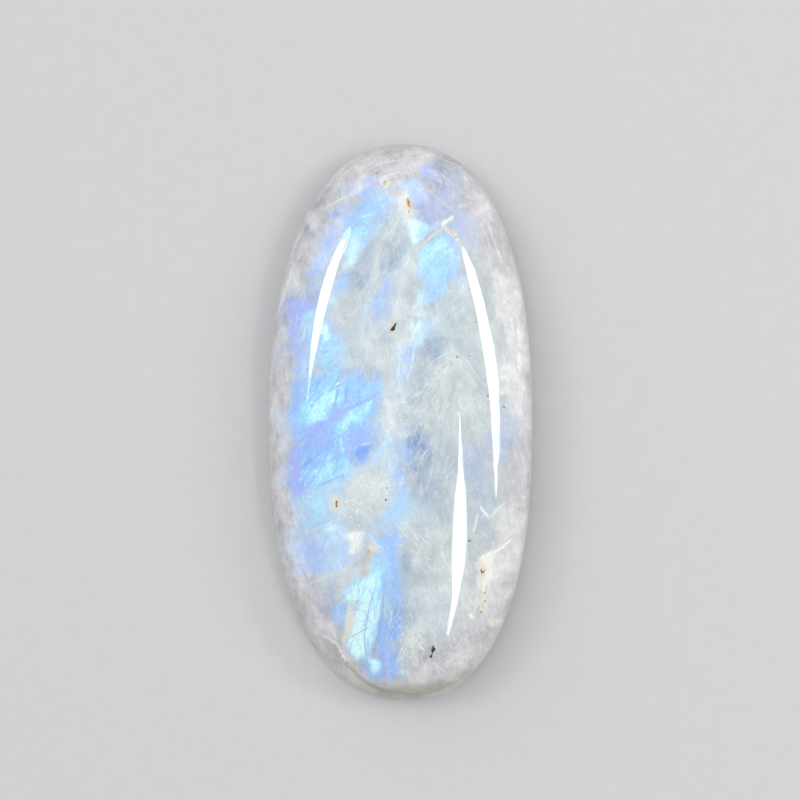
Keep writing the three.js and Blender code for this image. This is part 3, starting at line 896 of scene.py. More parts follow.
# From the lowest layer of markings up.
MARKINGS = [
    *MARGINS,
    *HAZE,
    *WINDOWS,
    *UPPER_LEFT_FLASH,
    *LEFT_FLASH,
    *LARGE_FLASH,
    *BELOW_LARGE_FLASH,
    *FLAME,
    *MIDDLE_BLUES,
    *UPPER_RIGHT_FLASH,
    *PETALS,
    *PALE_MIDDLE,
    *TENT,
    *UPPER_RIGHT_VEINS,
    *LOWER_RIGHT,
    *BACK_BEVEL,
    *STAINS,
]


def on_stone(points, rounds=4):
    """Places on the polished dome, in millimetres, of points in the photograph, found in rounds."""
    seen = (np.array(points) - STONE_MIDDLE_IN_PHOTO) * (PIXEL, -PIXEL)
    places = seen
    for _ in range(rounds):
        rise = dome_height(scale_at(places[:, 0], places[:, 1])) - GIRDLE_TOP
        nearer = 1 - rise / CAMERA_DISTANCE
        places = CAMERA_PLACE + (seen - CAMERA_PLACE) * nearer[:, None]
    return places


def smoothed(points, closed, cut=0.25):
    """A path with its corners cut once, at this share of each side, as rows of x and y."""
    after = np.roll(points, -1, axis=0)
    starts = points * (1 - cut) + after * cut
    ends = points * cut + after * (1 - cut)
    path = np.stack([starts, ends], axis=1).reshape(-1, 2)
    if closed:
        return path
    return np.concatenate([points[:1], path[:-2], points[-1:]])


def distance_to(path, x, y):
    """Distances from points to a path, and how far along it, 0 to 1, the nearest place lies."""
    nearest = np.full(x.shape, np.inf)
    along = np.zeros(x.shape)
    for index, (start, end) in enumerate(zip(path, path[1:], strict=False)):
        step = end - start
        t = np.clip(((x - start[0]) * step[0] + (y - start[1]) * step[1]) / (step @ step), 0, 1)
        distance = np.hypot(x - start[0] - t * step[0], y - start[1] - t * step[1])
        along = np.where(distance < nearest, (index + t) / (len(path) - 1), along)
        nearest = np.minimum(nearest, distance)
    return nearest, along


def is_near(path, x, y, reach):
    """Whether points lie near enough to a path to be measured."""
    near_x = np.abs(x - path[:, 0].mean()) < np.ptp(path[:, 0]) + reach
    near_y = np.abs(y - path[:, 1].mean()) < np.ptp(path[:, 1]) + reach
    return near_x & near_y


# An area's edge fades over this many times its softness, and its raggedness shifts it.
EDGE_SOFTNESS = 1.35
EDGE_RAGGEDNESS = 0.3

# A streak tapers in the first and the last of this many parts, down to a tip. Its half width is a share
# of its width. It is gone at this many half widths from its middle, and full one half width nearer.
STREAK_PARTS = 5
STREAK_TIP = 0.08
STREAK_HALF = 0.62
STREAK_EDGE = 1.25


def area_cover(path, softness, x, y, ragged):
    """How much of an area covers each point, 0 to 1."""
    distance, _ = distance_to(path, x, y)
    inwards = np.where(is_within(path, x, y), distance, -distance)
    return eased(0.5 + inwards / (softness * EDGE_SOFTNESS) + ragged * EDGE_RAGGEDNESS)


def streak_cover(path, width, x, y):
    """How much of a streak covers each point, 0 to 1."""
    distance, along = distance_to(path, x, y)
    taper = np.sqrt(np.clip(np.minimum(along, 1 - along) * STREAK_PARTS, STREAK_TIP, 1))
    return eased(STREAK_EDGE - distance / (width * taper * STREAK_HALF))


def cover(marking, x, y, ragged):
    """How much of a marking covers each point, 0 to its strength. ragged wobbles an area's edge."""
    size = marking["size"] * PIXEL
    path = smoothed(on_stone(marking["points"]), marking["closed"])
    if marking["closed"]:
        path = np.concatenate([path, path[:1]])
    near = is_near(path, x, y, size)
    found = np.zeros(x.shape)
    if marking["closed"]:
        found[near] = area_cover(path, size, x[near], y[near], ragged[near])
    else:
        found[near] = streak_cover(path, size, x[near], y[near])
    return found * marking["strength"]


def wobble(x, y, seed, waves=24, finest=0.25, growth=1.18, swell=0.35):
    """Smooth seeded unevenness over the plan, about -1 to 1, of waves from the finest to long ones."""
    random = np.random.default_rng(seed)
    total = np.zeros(x.shape)
    for wave in range(waves):
        length = finest * growth**wave
        turn = random.uniform(0, 2 * math.pi)
        phase = random.uniform(0, 2 * math.pi)
        ripple = (x * math.cos(turn) + y * math.sin(turn)) / length
        total += np.sin(2 * math.pi * ripple + phase) * (length / finest) ** swell
    usual_height = 2.2 * math.sqrt(waves)
    return total / usual_height


# The flash lies in layers. Each slips along itself by about this many millimetres, which frays what is
# painted across them, and every place drifts a little besides.
LAMELLA_LEAN = 32  # degrees from up towards the right
SLIP = 0.12
SLIP_EVENNESS = 0.2  # how fast the slip changes along a layer, over how fast it does across
DRIFT = 0.06

# The outline's scale at which the margin and the rim's painted reflection each set in, and over how much of
# it they do.
MARGIN_START = 0.7
MARGIN_WIDTH = 0.22
RIM_REFLECTION_START = 0.965
RIM_REFLECTION_WIDTH = 0.035


def painted(x, y):
    """The strengths of each channel of the markings over points seen from above."""
    ragged = wobble(x, y, seed=3)
    lean = math.radians(LAMELLA_LEAN)
    across = x * math.cos(lean) - y * math.sin(lean)
    along = x * math.sin(lean) + y * math.cos(lean)
    slip = wobble(across, along * SLIP_EVENNESS, seed=7) * SLIP
    x = x + wobble(x, y, seed=5) * DRIFT + slip * math.sin(lean)
    y = y + wobble(x, y, seed=6) * DRIFT + slip * math.cos(lean)
    channels = {name: np.full(x.shape, value) for name, value in BODY_PAINT.items()}
    for marking in MARKINGS:
        share = cover(marking, x, y, ragged)
        for name, value in PAINTS[marking["paint"]].items():
            channels[name] += (value - channels[name]) * share
    scale = scale_at(x, y)
    channels["margin"] = eased((scale - MARGIN_START) / MARGIN_WIDTH)
    # A painted reflection of the girdle, along the rim.
    channels["rim_reflection"] = eased((scale - RIM_REFLECTION_START) / RIM_REFLECTION_WIDTH)
    return channels


# ---------------------------------------------------------------- node trees

NOISE_SPAN = (0.3, 0.7)  # nearly all of a noise lies between these
NET_STRETCH = (1.0, 0.5, 1.0)


def linear(red, green, blue):
    """A screen colour, 0 to 255, as the linear RGBA that a node takes."""
    scaled = [c / 255 for c in (red, green, blue)]
    return (*[c / 12.92 if c <= 0.04045 else ((c + 0.055) / 1.055) ** 2.4 for c in scaled], 1)


class Nodes:
    """Adds nodes to one material. Most calls return the socket that carries their result."""

    def __init__(self, name):
        self.material = bpy.data.materials.new(name)
        self.material.use_nodes = True
        self.tree = self.material.node_tree
        self.tree.nodes.clear()

    def add(self, kind, inputs, **settings):
        """A node, returned itself, with inputs linked to sockets or set to values. None sets nothing."""
        made = self.tree.nodes.new(kind)
        for key, value in settings.items():
            setattr(made, key, value)
        for key, value in inputs.items():
            if isinstance(value, bpy.types.NodeSocket):
                self.tree.links.new(value, made.inputs[key])
            elif value is not None:
                made.inputs[key].default_value = value
        return made

    def millimetres(self):
        """Places in the object, in millimetres."""
        place = self.add("ShaderNodeTexCoord", {}).outputs["Object"]
        return self.vector_math("SCALE", place, scale=1 / METRES)

    def attribute(self, name):
        """A channel that paint_mesh keeps on the mesh."""
        return self.add("ShaderNodeAttribute", {}, attribute_name=name).outputs["Fac"]

    def leaning(self, vector, lean, stretch):
        """Coordinates squeezed along a direction that leans this many degrees from +Y towards +X."""
        spun = self.add("ShaderNodeMapping", {"Vector": vector, "Rotation": (0, 0, math.radians(lean))})
        return self.add("ShaderNodeMapping", {"Vector": spun.outputs[0], "Scale": stretch}).outputs[0]

    def noise(self, vector, scale, detail=3, roughness=0.55, distortion=0.0):
        """A cloudy noise, 0 to 1."""
        inputs = {
            "Vector": vector,
            "Scale": scale,
            "Detail": detail,
            "Roughness": roughness,
            "Distortion": distortion,
        }
        return self.add("ShaderNodeTexNoise", inputs).outputs["Fac"]

    def layered(self, vector, lean, across, along, **details):
        """A noise in layers that lean this way, with its coordinates stretched across and along them."""
        return self.noise(self.leaning(vector, lean, (across, along, 1.0)), **details)

    def wavering(self, vector, scale, reach):
        """Coordinates pushed about by a noise, so that what is drawn on them runs in curves."""
        pushed = self.add("ShaderNodeTexNoise", {"Vector": vector, "Scale": scale}).outputs["Color"]
        centred = self.vector_math("SUBTRACT", pushed, (0.5, 0.5, 0.5))
        return self.vector_math("ADD", vector, self.vector_math("SCALE", centred, scale=reach))

    def net(self, vector, lean, scale, width, strength):
        """A net of curved lines, which are this strong in their middle and fade over a width in cells."""
        curved = self.leaning(self.wavering(vector, scale=1.6, reach=0.9), lean, NET_STRETCH)
        inputs = {"Vector": curved, "Scale": scale}
        edges = self.add("ShaderNodeTexVoronoi", inputs, feature="DISTANCE_TO_EDGE").outputs["Distance"]
        return self.between(edges, 0.0, width, at_start=strength, at_end=0.0)

    def threads(self, vector, lean, scale, width):
        """Thin threads that lean this way, which run where a noise in layers crosses its middle."""
        field = self.layered(
            vector, lean, across=2.2, along=0.5, scale=scale, detail=2, roughness=0.5, distortion=0.7
        )
        off = self.math("ABSOLUTE", self.math("SUBTRACT", field, 0.5))
        return self.between(off, 0.0, width, at_start=1.0, at_end=0.0)

    def math(self, operation, a, b=None, clamp=False):
        """One step of arithmetic on one or two values."""
        return self.add("ShaderNodeMath", {0: a, 1: b}, operation=operation, use_clamp=clamp).outputs[0]

    def vector_math(self, operation, a, b=None, scale=None):
        """One step of arithmetic on one or two vectors."""
        inputs = {0: a, 1: b, "Scale": scale}
        return self.add("ShaderNodeVectorMath", inputs, operation=operation).outputs[0]

    def between(self, value, start, end, at_start=0.0, at_end=1.0):
        """A value as it runs from start to end turned into one from at_start to at_end, and held there."""
        inputs = {"Value": value, "From Min": start, "From Max": end, "To Min": at_start, "To Max": at_end}
        return self.add("ShaderNodeMapRange", inputs).outputs[0]

    def swing(self, value, reach):
        """A noise made to swing about 0, as far as reach to both sides."""
        return self.between(value, *NOISE_SPAN, -reach, reach)

    def joined(self, operation, first, *others):
        """Values joined one after the other."""
        for value in others:
            first = self.math(operation, first, value)
        return first

    def total(self, *values):
        """The sum of values."""
        return self.joined("ADD", *values)

    def product(self, *values):
        """The product of values."""
        return self.joined("MULTIPLY", *values)

    def largest(self, *values):
        """The largest of values."""
        return self.joined("MAXIMUM", *values)

    def mixed(self, share, a, b, blend="MIX"):
        """Colour a, with colour b laid over it by a share of 0 to 1."""
        inputs = {0: share, 6: a, 7: b}  # where a mix of colours takes them
        return self.add("ShaderNodeMix", inputs, data_type="RGBA", blend_type=blend).outputs[2]

    def ramp(self, value, stops):
        """The colour at a value, from stops of (value, screen colour)."""
        made = self.add("ShaderNodeValToRGB", {"Fac": value})
        elements = made.color_ramp.elements
        while len(elements) < len(stops):
            elements.new(1.0)
        for element, (place, colour) in zip(elements, stops, strict=True):
            element.position = place
            element.color = linear(*colour)
        return made.outputs[0]

    def principled(self, inputs):
        """The shader of a surface."""
        return self.add("ShaderNodeBsdfPrincipled", inputs).outputs[0]

    def finished(self, shader):
        """The material itself, with this shader."""
        self.add("ShaderNodeOutputMaterial", {"Surface": shader})
        return self.material


# ---------------------------------------------------------------- materials

# The ramps run over how milky, how blue or how warm a place is, with a screen colour at each stop.
MILK_STOPS = [
    (0.0, (140, 162, 190)),
    (0.25, (176, 188, 199)),
    (0.5, (196, 202, 204)),
    (0.75, (214, 219, 217)),
    (0.92, (224, 228, 226)),
    (1.0, (242, 244, 240)),
]
MARGIN_STOPS = [
    (0.0, (142, 141, 150)),
    (0.3, (176, 174, 178)),
    (0.5, (200, 198, 200)),
    (0.75, (222, 220, 220)),
    (1.0, (248, 247, 243)),
]
FLASH_STOPS = [
    (0.0, (190, 184, 247)),
    (0.18, (176, 193, 249)),
    (0.35, (159, 196, 249)),
    (0.52, (167, 211, 250)),
    (0.68, (176, 231, 250)),
    (0.8, (200, 248, 251)),
    (1.0, (226, 255, 251)),
]
FLASH_HUES = 1.2  # the hue at the ramp's end
DEEP_BLUE = (142, 176, 236)
VEIN_BLUE = (140, 168, 232)
WARM_STOPS = [
    (0.0, (242, 239, 230)),
    (0.35, (220, 210, 184)),
    (0.7, (204, 166, 110)),
    (1.0, (132, 92, 54)),
]
# A pale line painted along the rim as the girdle's reflection, and how strongly it lies over the stone.
RIM_REFLECTION = (212, 209, 203)
RIM_REFLECTION_STRENGTH = 0.4
POLISH_TINT = (250, 251, 252)
POLISH_PALENESS = 0.72  # how much of the tint hides the stone's colour in the clear polish


def stone_texture(nodes):
    """The fine unevenness that the stone's colours share: noises from 0 to 1 and threads."""
    place = nodes.millimetres()
    mottle = nodes.noise(place, scale=0.8, detail=5, roughness=0.62)
    specks = nodes.noise(place, scale=7.5, detail=1, roughness=0.5)
    lamellae = nodes.layered(
        place, LAMELLA_LEAN, across=2.2, along=0.6, scale=1.5, detail=5, roughness=0.6, distortion=0.4
    )
    fibres = nodes.layered(
        place, lean=36, across=2.4, along=0.7, scale=4.6, detail=3, roughness=0.65, distortion=0.3
    )
    strands = nodes.layered(
        place, lean=-14, across=2.8, along=0.4, scale=1.4, detail=6, roughness=0.68, distortion=0.6
    )
    threads = nodes.largest(
        nodes.threads(place, lean=-50, scale=0.75, width=0.034),
        nodes.threads(place, lean=24, scale=0.8, width=0.032),
        nodes.threads(place, lean=-8, scale=1.0, width=0.034),
        nodes.threads(place, lean=62, scale=0.7, width=0.026),
    )
    return SimpleNamespace(
        place=place,
        mottle=mottle,
        blots=nodes.noise(place, scale=0.9, detail=3, roughness=0.6, distortion=0.5),
        grain=nodes.noise(place, scale=5.5, detail=3, roughness=0.7),
        specks=nodes.between(specks, 0.6, 0.72),
        lamellae=lamellae,
        fibres=fibres,
        strands=strands,
        threads=nodes.product(threads, nodes.between(mottle, 0.36, 0.6, at_start=0.1)),
    )


def milkiness(nodes, texture):
    """How milky the stone is, as painted and made uneven, with white threads and sugary crystals."""
    margin = nodes.attribute("margin")
    sugar = nodes.attribute("sugar")
    return nodes.total(
        nodes.attribute("milk"),
        nodes.swing(texture.mottle, 0.14),
        nodes.swing(texture.strands, 0.12),
        nodes.swing(texture.grain, 0.08),
        nodes.product(nodes.swing(texture.blots, 0.12), margin),
        nodes.product(texture.threads, nodes.between(margin, 0.0, 1.0, at_start=0.17, at_end=0.06)),
        nodes.product(texture.specks, nodes.between(sugar, 0.0, 1.0, at_start=0.02, at_end=0.34)),
    )


def body_colour(nodes, milk):
    """The cloudy body, which is less blue in the margin."""
    middle = nodes.ramp(milk, MILK_STOPS)
    edge = nodes.ramp(milk, MARGIN_STOPS)
    return nodes.mixed(nodes.attribute("margin"), middle, edge)


def flash_colour(nodes, texture, milk):
    """The flash, from violet to a white cyan, and a deeper blue where the stone is clear."""
    hue = nodes.total(
        nodes.attribute("hue"),
        nodes.swing(texture.lamellae, 0.1),
        nodes.swing(texture.fibres, 0.11),
        nodes.swing(texture.grain, 0.08),
        nodes.product(texture.specks, 0.1),
        nodes.product(texture.threads, 0.1),
    )
    blue = nodes.ramp(nodes.between(hue, 0.0, FLASH_HUES), FLASH_STOPS)
    return nodes.mixed(nodes.between(milk, 0.42, 0.08), blue, linear(*DEEP_BLUE))


def flash_cover(nodes, texture):
    """How much of the body the flash hides. It frays along its layers where it is neither full nor gone."""
    flash = nodes.attribute("flash")
    unsure = nodes.product(flash, nodes.math("SUBTRACT", 1.0, flash))
    frayed = nodes.total(nodes.swing(texture.lamellae, 0.55), nodes.swing(texture.fibres, 0.55))
    ragged = nodes.math("ADD", flash, nodes.product(unsure, frayed), clamp=True)
    veiled = nodes.between(texture.strands, 0.42, 0.72, at_start=0.94, at_end=0.7)
    return nodes.product(ragged, veiled)


def veined(nodes, texture, share, colour):
    """A colour with two nets of blue veins, where the flash covers it."""
    coarse = nodes.net(texture.place, lean=34, scale=1.3, width=0.06, strength=0.42)
    fine = nodes.net(texture.place, lean=60, scale=2.9, width=0.12, strength=0.16)
    uneven = nodes.between(texture.mottle, 0.35, 0.6, at_start=0.3)
    veins = nodes.product(nodes.largest(coarse, fine), uneven, share)
    return nodes.mixed(veins, colour, linear(*VEIN_BLUE))


def stained(nodes, texture, colour):
    """A colour with warm stains, which are darker where the stone isn't milky."""
    warm = nodes.attribute("warm")
    speckled = nodes.total(warm, nodes.between(texture.grain, 0.35, 0.65, at_start=-0.1, at_end=0.1))
    depth = nodes.between(nodes.attribute("milk"), 0.0, 0.5, at_start=0.5)
    stain = nodes.mixed(1.0, nodes.ramp(speckled, WARM_STOPS), depth, blend="MULTIPLY")
    return nodes.mixed(nodes.between(warm, 0.0, 0.22), colour, stain)


def stone_colour(nodes):
    """The stone's colour, from the strengths painted on its mesh and a fine texture of its own, with a
    painted reflection along the rim.
    """
    texture = stone_texture(nodes)
    milk = milkiness(nodes, texture)
    share = flash_cover(nodes, texture)
    colour = nodes.mixed(share, body_colour(nodes, milk), flash_colour(nodes, texture, milk))
    colour = veined(nodes, texture, share, colour)
    colour = stained(nodes, texture, colour)
    # The painted reflection along the rim.
    rim_reflection = nodes.product(nodes.attribute("rim_reflection"), RIM_REFLECTION_STRENGTH)
    return nodes.mixed(rim_reflection, colour, linear(*RIM_REFLECTION))


def polished_skin():
    """Clear polish, which lets a lamp's light through without bending it."""
    nodes = Nodes("polished_skin")
    inputs = {
        "Base Color": nodes.mixed(POLISH_PALENESS, stone_colour(nodes), linear(*POLISH_TINT)),
        "Roughness": 0.025,
        "IOR": REFRACTION,
        "Transmission Weight": 0.98,
    }
    glass = nodes.principled(inputs)
    clear = nodes.add("ShaderNodeBsdfTransparent", {"Color": (1, 1, 1, 1)}).outputs[0]
    lamp_ray = nodes.add("ShaderNodeLightPath", {}).outputs["Is Shadow Ray"]
    return nodes.finished(nodes.add("ShaderNodeMixShader", {0: lamp_ray, 1: glass, 2: clear}).outputs[0])


def milky_inside():
    """The cloudy, flashing stone under the polish."""
    nodes = Nodes("milky_inside")
    inputs = {
        "Base Color": stone_colour(nodes),
        "Roughness": 0.6,
        "Specular IOR Level": 0.0,
        "Subsurface Weight": 0.35,
        "Subsurface Radius": (1.0, 1.0, 1.1),
        "Subsurface Scale": 0.0005,
    }
    return nodes.finished(nodes.principled(inputs))


def matt(name, dark, pale, scale):
    """A matt material that varies between two colours."""
    nodes = Nodes(name)
    grain = nodes.noise(nodes.millimetres(), scale, detail=4, roughness=0.6)
    colour = nodes.mixed(nodes.between(grain, *NOISE_SPAN), linear(*dark), linear(*pale))
    inputs = {"Base Color": colour, "Roughness": 0.7, "Specular IOR Level": 0.1}
    return nodes.finished(nodes.principled(inputs))


# ---------------------------------------------------------------- the stone and its inside

BACK_FLASH = 0.4  # how much of the flash shows on the back
FLAT = 1e-9  # a steepness too small to have a direction


def paint_mesh(piece, x, y, flash_share):
    """Keeps the markings' channels on a mesh, for its material to read."""
    for name, values in painted(x, y).items():
        if name == "flash":
            values = values * flash_share
        layer = piece.data.attributes.new(name, "FLOAT", "POINT")
        layer.data.foreach_set("value", values.astype(np.float32))


def polished_stone():
    """The clear polish, whose shape and box are the CAD stone's."""
    dome = dome_rings(SKIN_RINGS, SKIN_SPACING)
    rings = [*dome, *lower_rings(SKIN_SPACING, 0.0)]
    points = np.concatenate([ring_points(ring) for ring in rings])
    faces = stitched([ring.points for ring in rings])
    stone = mesh_object("moonstone_polished", points, faces, polished_skin())
    on_dome = np.arange(len(points)) < sum(ring.points for ring in dome)
    paint_mesh(stone, points[:, 0], points[:, 1], np.where(on_dome, 1, BACK_FLASH))
    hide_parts(NODE)
    return stone


def seen_through(surface, normals, depth):
    """Where, in x and y, the places this deep below a surface are seen through it from above."""
    steepness = np.hypot(normals[:, :1], normals[:, 1:2])
    bent = steepness / REFRACTION
    sideways = depth * bent / np.sqrt(1 - bent**2) * normals[:, 2:]
    outwards = normals[:, :2] / np.maximum(steepness, FLAT)
    return surface[:, :2] - outwards * sideways


def inside_of_stone():
    """The milky inside: the dome sunk by the polish's depth, painted as the camera sees it from above."""
    dome = dome_rings(INSIDE_RINGS, INSIDE_SPACING)
    lower = lower_rings(INSIDE_SPACING, SIDE_DEPTH)
    surface = np.concatenate([ring_points(ring) for ring in dome])
    under = np.concatenate([ring_points(ring) for ring in lower])
    x, y = surface[:, 0], surface[:, 1]
    normals = dome_normals(x, y)
    depth = polish_depth(x, y)[:, None]
    points = np.concatenate([surface - normals * depth, under])
    faces = stitched([ring.points for ring in [*dome, *lower]])
    inside = mesh_object("milky_inside", points, faces, milky_inside())
    seen = np.concatenate([seen_through(surface, normals, depth), under[:, :2]])
    on_dome = np.arange(len(seen)) < len(surface)
    paint_mesh(inside, seen[:, 0], seen[:, 1], np.where(on_dome, 1, BACK_FLASH))
    return inside


# ---------------------------------------------------------------- what is sealed in the polish

# How deep each kind lies, as a share of the polish's depth.
VEIL_DEPTH = 0.8
CRACK_DEPTH = 0.9
STREWN_DEPTHS = (0.35, 0.92)
RUST_DEPTH = 0.85
CRYSTAL_DEPTH = 0.75
DARK_DEPTH = 0.45

BLADE_THINNESS = 0.16  # thickness over width
BLADE_FULLNESS = 0.6  # the lower, the longer a blade keeps its width
BLADE_CORNERS = 4

GRAIN_UNEVENNESS = 0.7
GRAIN_APART = 9  # how far apart in the noise two grains are that lie a millimetre apart
GRAIN_FLATNESS = 0.6  # height over width


def drawn(points, spacing=0.22, fewest=4):
    """A smooth route on the stone through points in the photograph, as evenly spaced rows of x and y."""
    path = smoothed(smoothed(on_stone(points), False), False)
    walked = walked_along(path[:, 0], path[:, 1])
    stops = np.linspace(0, walked[-1], max(fewest, round(walked[-1] / spacing) + 1))
    return np.stack([np.interp(stops, walked, path[:, axis]) for axis in (0, 1)], axis=1)


def blade_points(route, width, share):
    """The points of a thin blade with sharp ends: x, y and share of the polish's depth."""
    heading = np.gradient(route, axis=0)
    heading /= np.linalg.norm(heading, axis=1, keepdims=True)
    side = np.stack([-heading[:, 1], heading[:, 0]], axis=1)
    half = width / 2 * np.sin(np.linspace(0, math.pi, len(route))) ** BLADE_FULLNESS
    shares = np.full((len(route), 1), share)
    thin = BLADE_THINNESS * half[:, None] / POLISH_DEPTH
    left = np.hstack([route + side * half[:, None], shares])
    right = np.hstack([route - side * half[:, None], shares])
    above = np.hstack([route, shares - thin])
    below = np.hstack([route, shares + thin])
    sections = np.stack([left, above, right, below], axis=1)[1:-1].reshape(-1, 3)
    return np.concatenate([above[:1], sections, above[-1:]])


def blade_faces(sections):
    """The faces of a blade with this many sections between its two sharp ends."""
    faces = []
    last = 1 + BLADE_CORNERS * sections
    final = last - BLADE_CORNERS
    for corner in range(BLADE_CORNERS):
        after = (corner + 1) % BLADE_CORNERS
        faces.append((0, 1 + corner, 1 + after))
        faces.append((last, final + after, final + corner))
        for near in range(1, final, BLADE_CORNERS):
            far = near + BLADE_CORNERS
            faces.append((near + corner, far + corner, far + after, near + after))
    return faces


def sealed_blades(name, material, blades):
    """One piece that joins blades, each given as a route, a width and a share of the polish's depth."""
    points = []
    faces = []
    start = 0
    for route, width, share in blades:
        made = blade_points(route, width, share)
        points.append(made)
        for face in blade_faces(len(route) - 2):
            faces.append(tuple(start + corner for corner in face))
        start += len(made)
    x, y, share = np.concatenate(points).T
    return mesh_object(name, sealed(x, y, share), faces, material, smooth=False)


def sealed_grains(name, material, grains, share):
    """One piece that joins small uneven lumps, each given as x, y and radius in the photograph."""
    lumps = bmesh.new()
    for x, y, radius in grains:
        place = on_stone([(x, y)])
        middle = Vector(sealed(place[:, 0], place[:, 1], np.array([share]))[0])
        made = bmesh.ops.create_icosphere(lumps, subdivisions=2, radius=radius * PIXEL)
        for vertex in made["verts"]:
            uneven = noise.noise(vertex.co / (radius * PIXEL) + middle * GRAIN_APART)
            vertex.co *= 1 + GRAIN_UNEVENNESS * uneven
            vertex.co.z *= GRAIN_FLATNESS
            vertex.co += middle
    lumps.verts.ensure_lookup_table()
    points = [vertex.co[:] for vertex in lumps.verts]
    faces = [tuple(vertex.index for vertex in face.verts) for face in lumps.faces]
    lumps.free()
    return mesh_object(name, points, faces, material)


# White lines: width and route.
VEILS = [
    (0.9, (325, 207), (338, 201), (352, 193), (358, 190)),
    (0.55, (378, 166), (388, 161), (399, 160)),
    (0.55, (374, 181), (390, 174), (403, 172)),
    (0.5, (340, 178), (356, 164), (376, 155)),
    (0.65, (438, 158), (452, 163), (463, 168)),
    (0.65, (425, 170), (434, 173), (443, 178)),
    (0.5, (428, 168), (438, 172), (446, 177)),
    (1.0, (445, 222), (448, 220), (452, 218)),
    (0.5, (438, 230), (430, 238), (423, 245)),
    (0.5, (413, 219), (421, 222), (430, 226)),
    (0.45, (429, 228), (425, 235), (421, 241)),
    (0.55, (479, 220), (485, 234), (490, 248)),
    (0.5, (488, 224), (492, 236), (495, 246)),
    (0.5, (403, 213), (395, 225), (388, 236)),
    (0.45, (382, 246), (378, 258), (374, 270)),
    (0.55, (411, 252), (407, 264), (404, 276)),
    (0.5, (400, 292), (397, 304), (395, 316)),
    (0.4, (419, 290), (417, 304), (416, 318)),
    (0.4, (415, 340), (414, 354), (413, 368)),
    (0.4, (368, 344), (367, 356), (366, 368)),
    (0.4, (376, 338), (378, 352), (377, 366)),
    (0.4, (386, 336), (388, 352), (388, 368)),
    (2.4, (334, 386), (337, 384), (341, 382)),
    (0.9, (340, 383), (343, 380), (346, 378)),
    (2.6, (359, 505), (361, 504), (363, 503)),
    (1.8, (353, 500), (355, 499), (356, 498)),
    (0.55, (334, 429), (339, 433), (343, 436)),
    (0.65, (343, 436), (347, 434), (351, 431)),
    (0.5, (343, 436), (341, 440), (341, 445)),
    (0.5, (343, 436), (347, 438), (351, 441)),
    (0.7, (360, 445), (366, 444), (371, 443)),
    (0.5, (453, 350), (446, 354), (438, 358), (429, 364)),
    (0.4, (453, 350), (448, 360), (442, 371), (439, 380)),
    (0.4, (455, 350), (464, 358), (474, 370), (482, 384)),
    (0.5, (450, 363), (446, 368), (443, 375)),
    (0.5, (459, 366), (464, 371), (468, 378)),
    (0.5, (411, 398), (418, 394), (425, 388)),
    (0.5, (420, 458), (424, 455), (428, 451)),
    (0.65, (401, 533), (404, 528), (408, 525)),
    (0.55, (408, 526), (413, 533), (418, 541)),
    (0.55, (402, 532), (412, 540), (422, 548)),
    (0.5, (411, 528), (422, 538), (434, 549)),
    (0.5, (398, 524), (404, 534), (412, 545)),
    (0.5, (424, 598), (432, 595), (440, 592)),
    (0.45, (436, 605), (444, 603), (450, 601)),
    (0.7, (480, 508), (485, 514), (489, 520)),
    (0.6, (501, 506), (495, 513), (489, 520)),
    (0.7, (478, 515), (476, 524), (473, 535)),
    (0.8, (513, 537), (504, 546), (494, 551)),
    (0.9, (497, 549), (489, 553), (480, 557)),
    (0.4, (393, 606), (391, 618), (389, 631)),
    (0.35, (404, 616), (401, 624), (397, 629)),
    (0.8, (417, 632), (420, 636), (423, 640)),
    (2.0, (419, 645), (422, 648), (425, 651)),
    (0.8, (418, 652), (418, 660), (416, 668)),
    (0.65, (404, 646), (400, 652), (396, 662)),
    (0.55, (451, 651), (459, 645), (463, 635)),
    (0.55, (441, 665), (452, 660), (459, 654)),
    (0.5, (428, 658), (438, 667), (450, 674)),
    (1.2, (470, 613), (473, 615), (476, 618)),
    (0.55, (356, 480), (362, 488), (366, 498)),
    (0.7, (350, 500), (356, 502), (362, 506)),
]

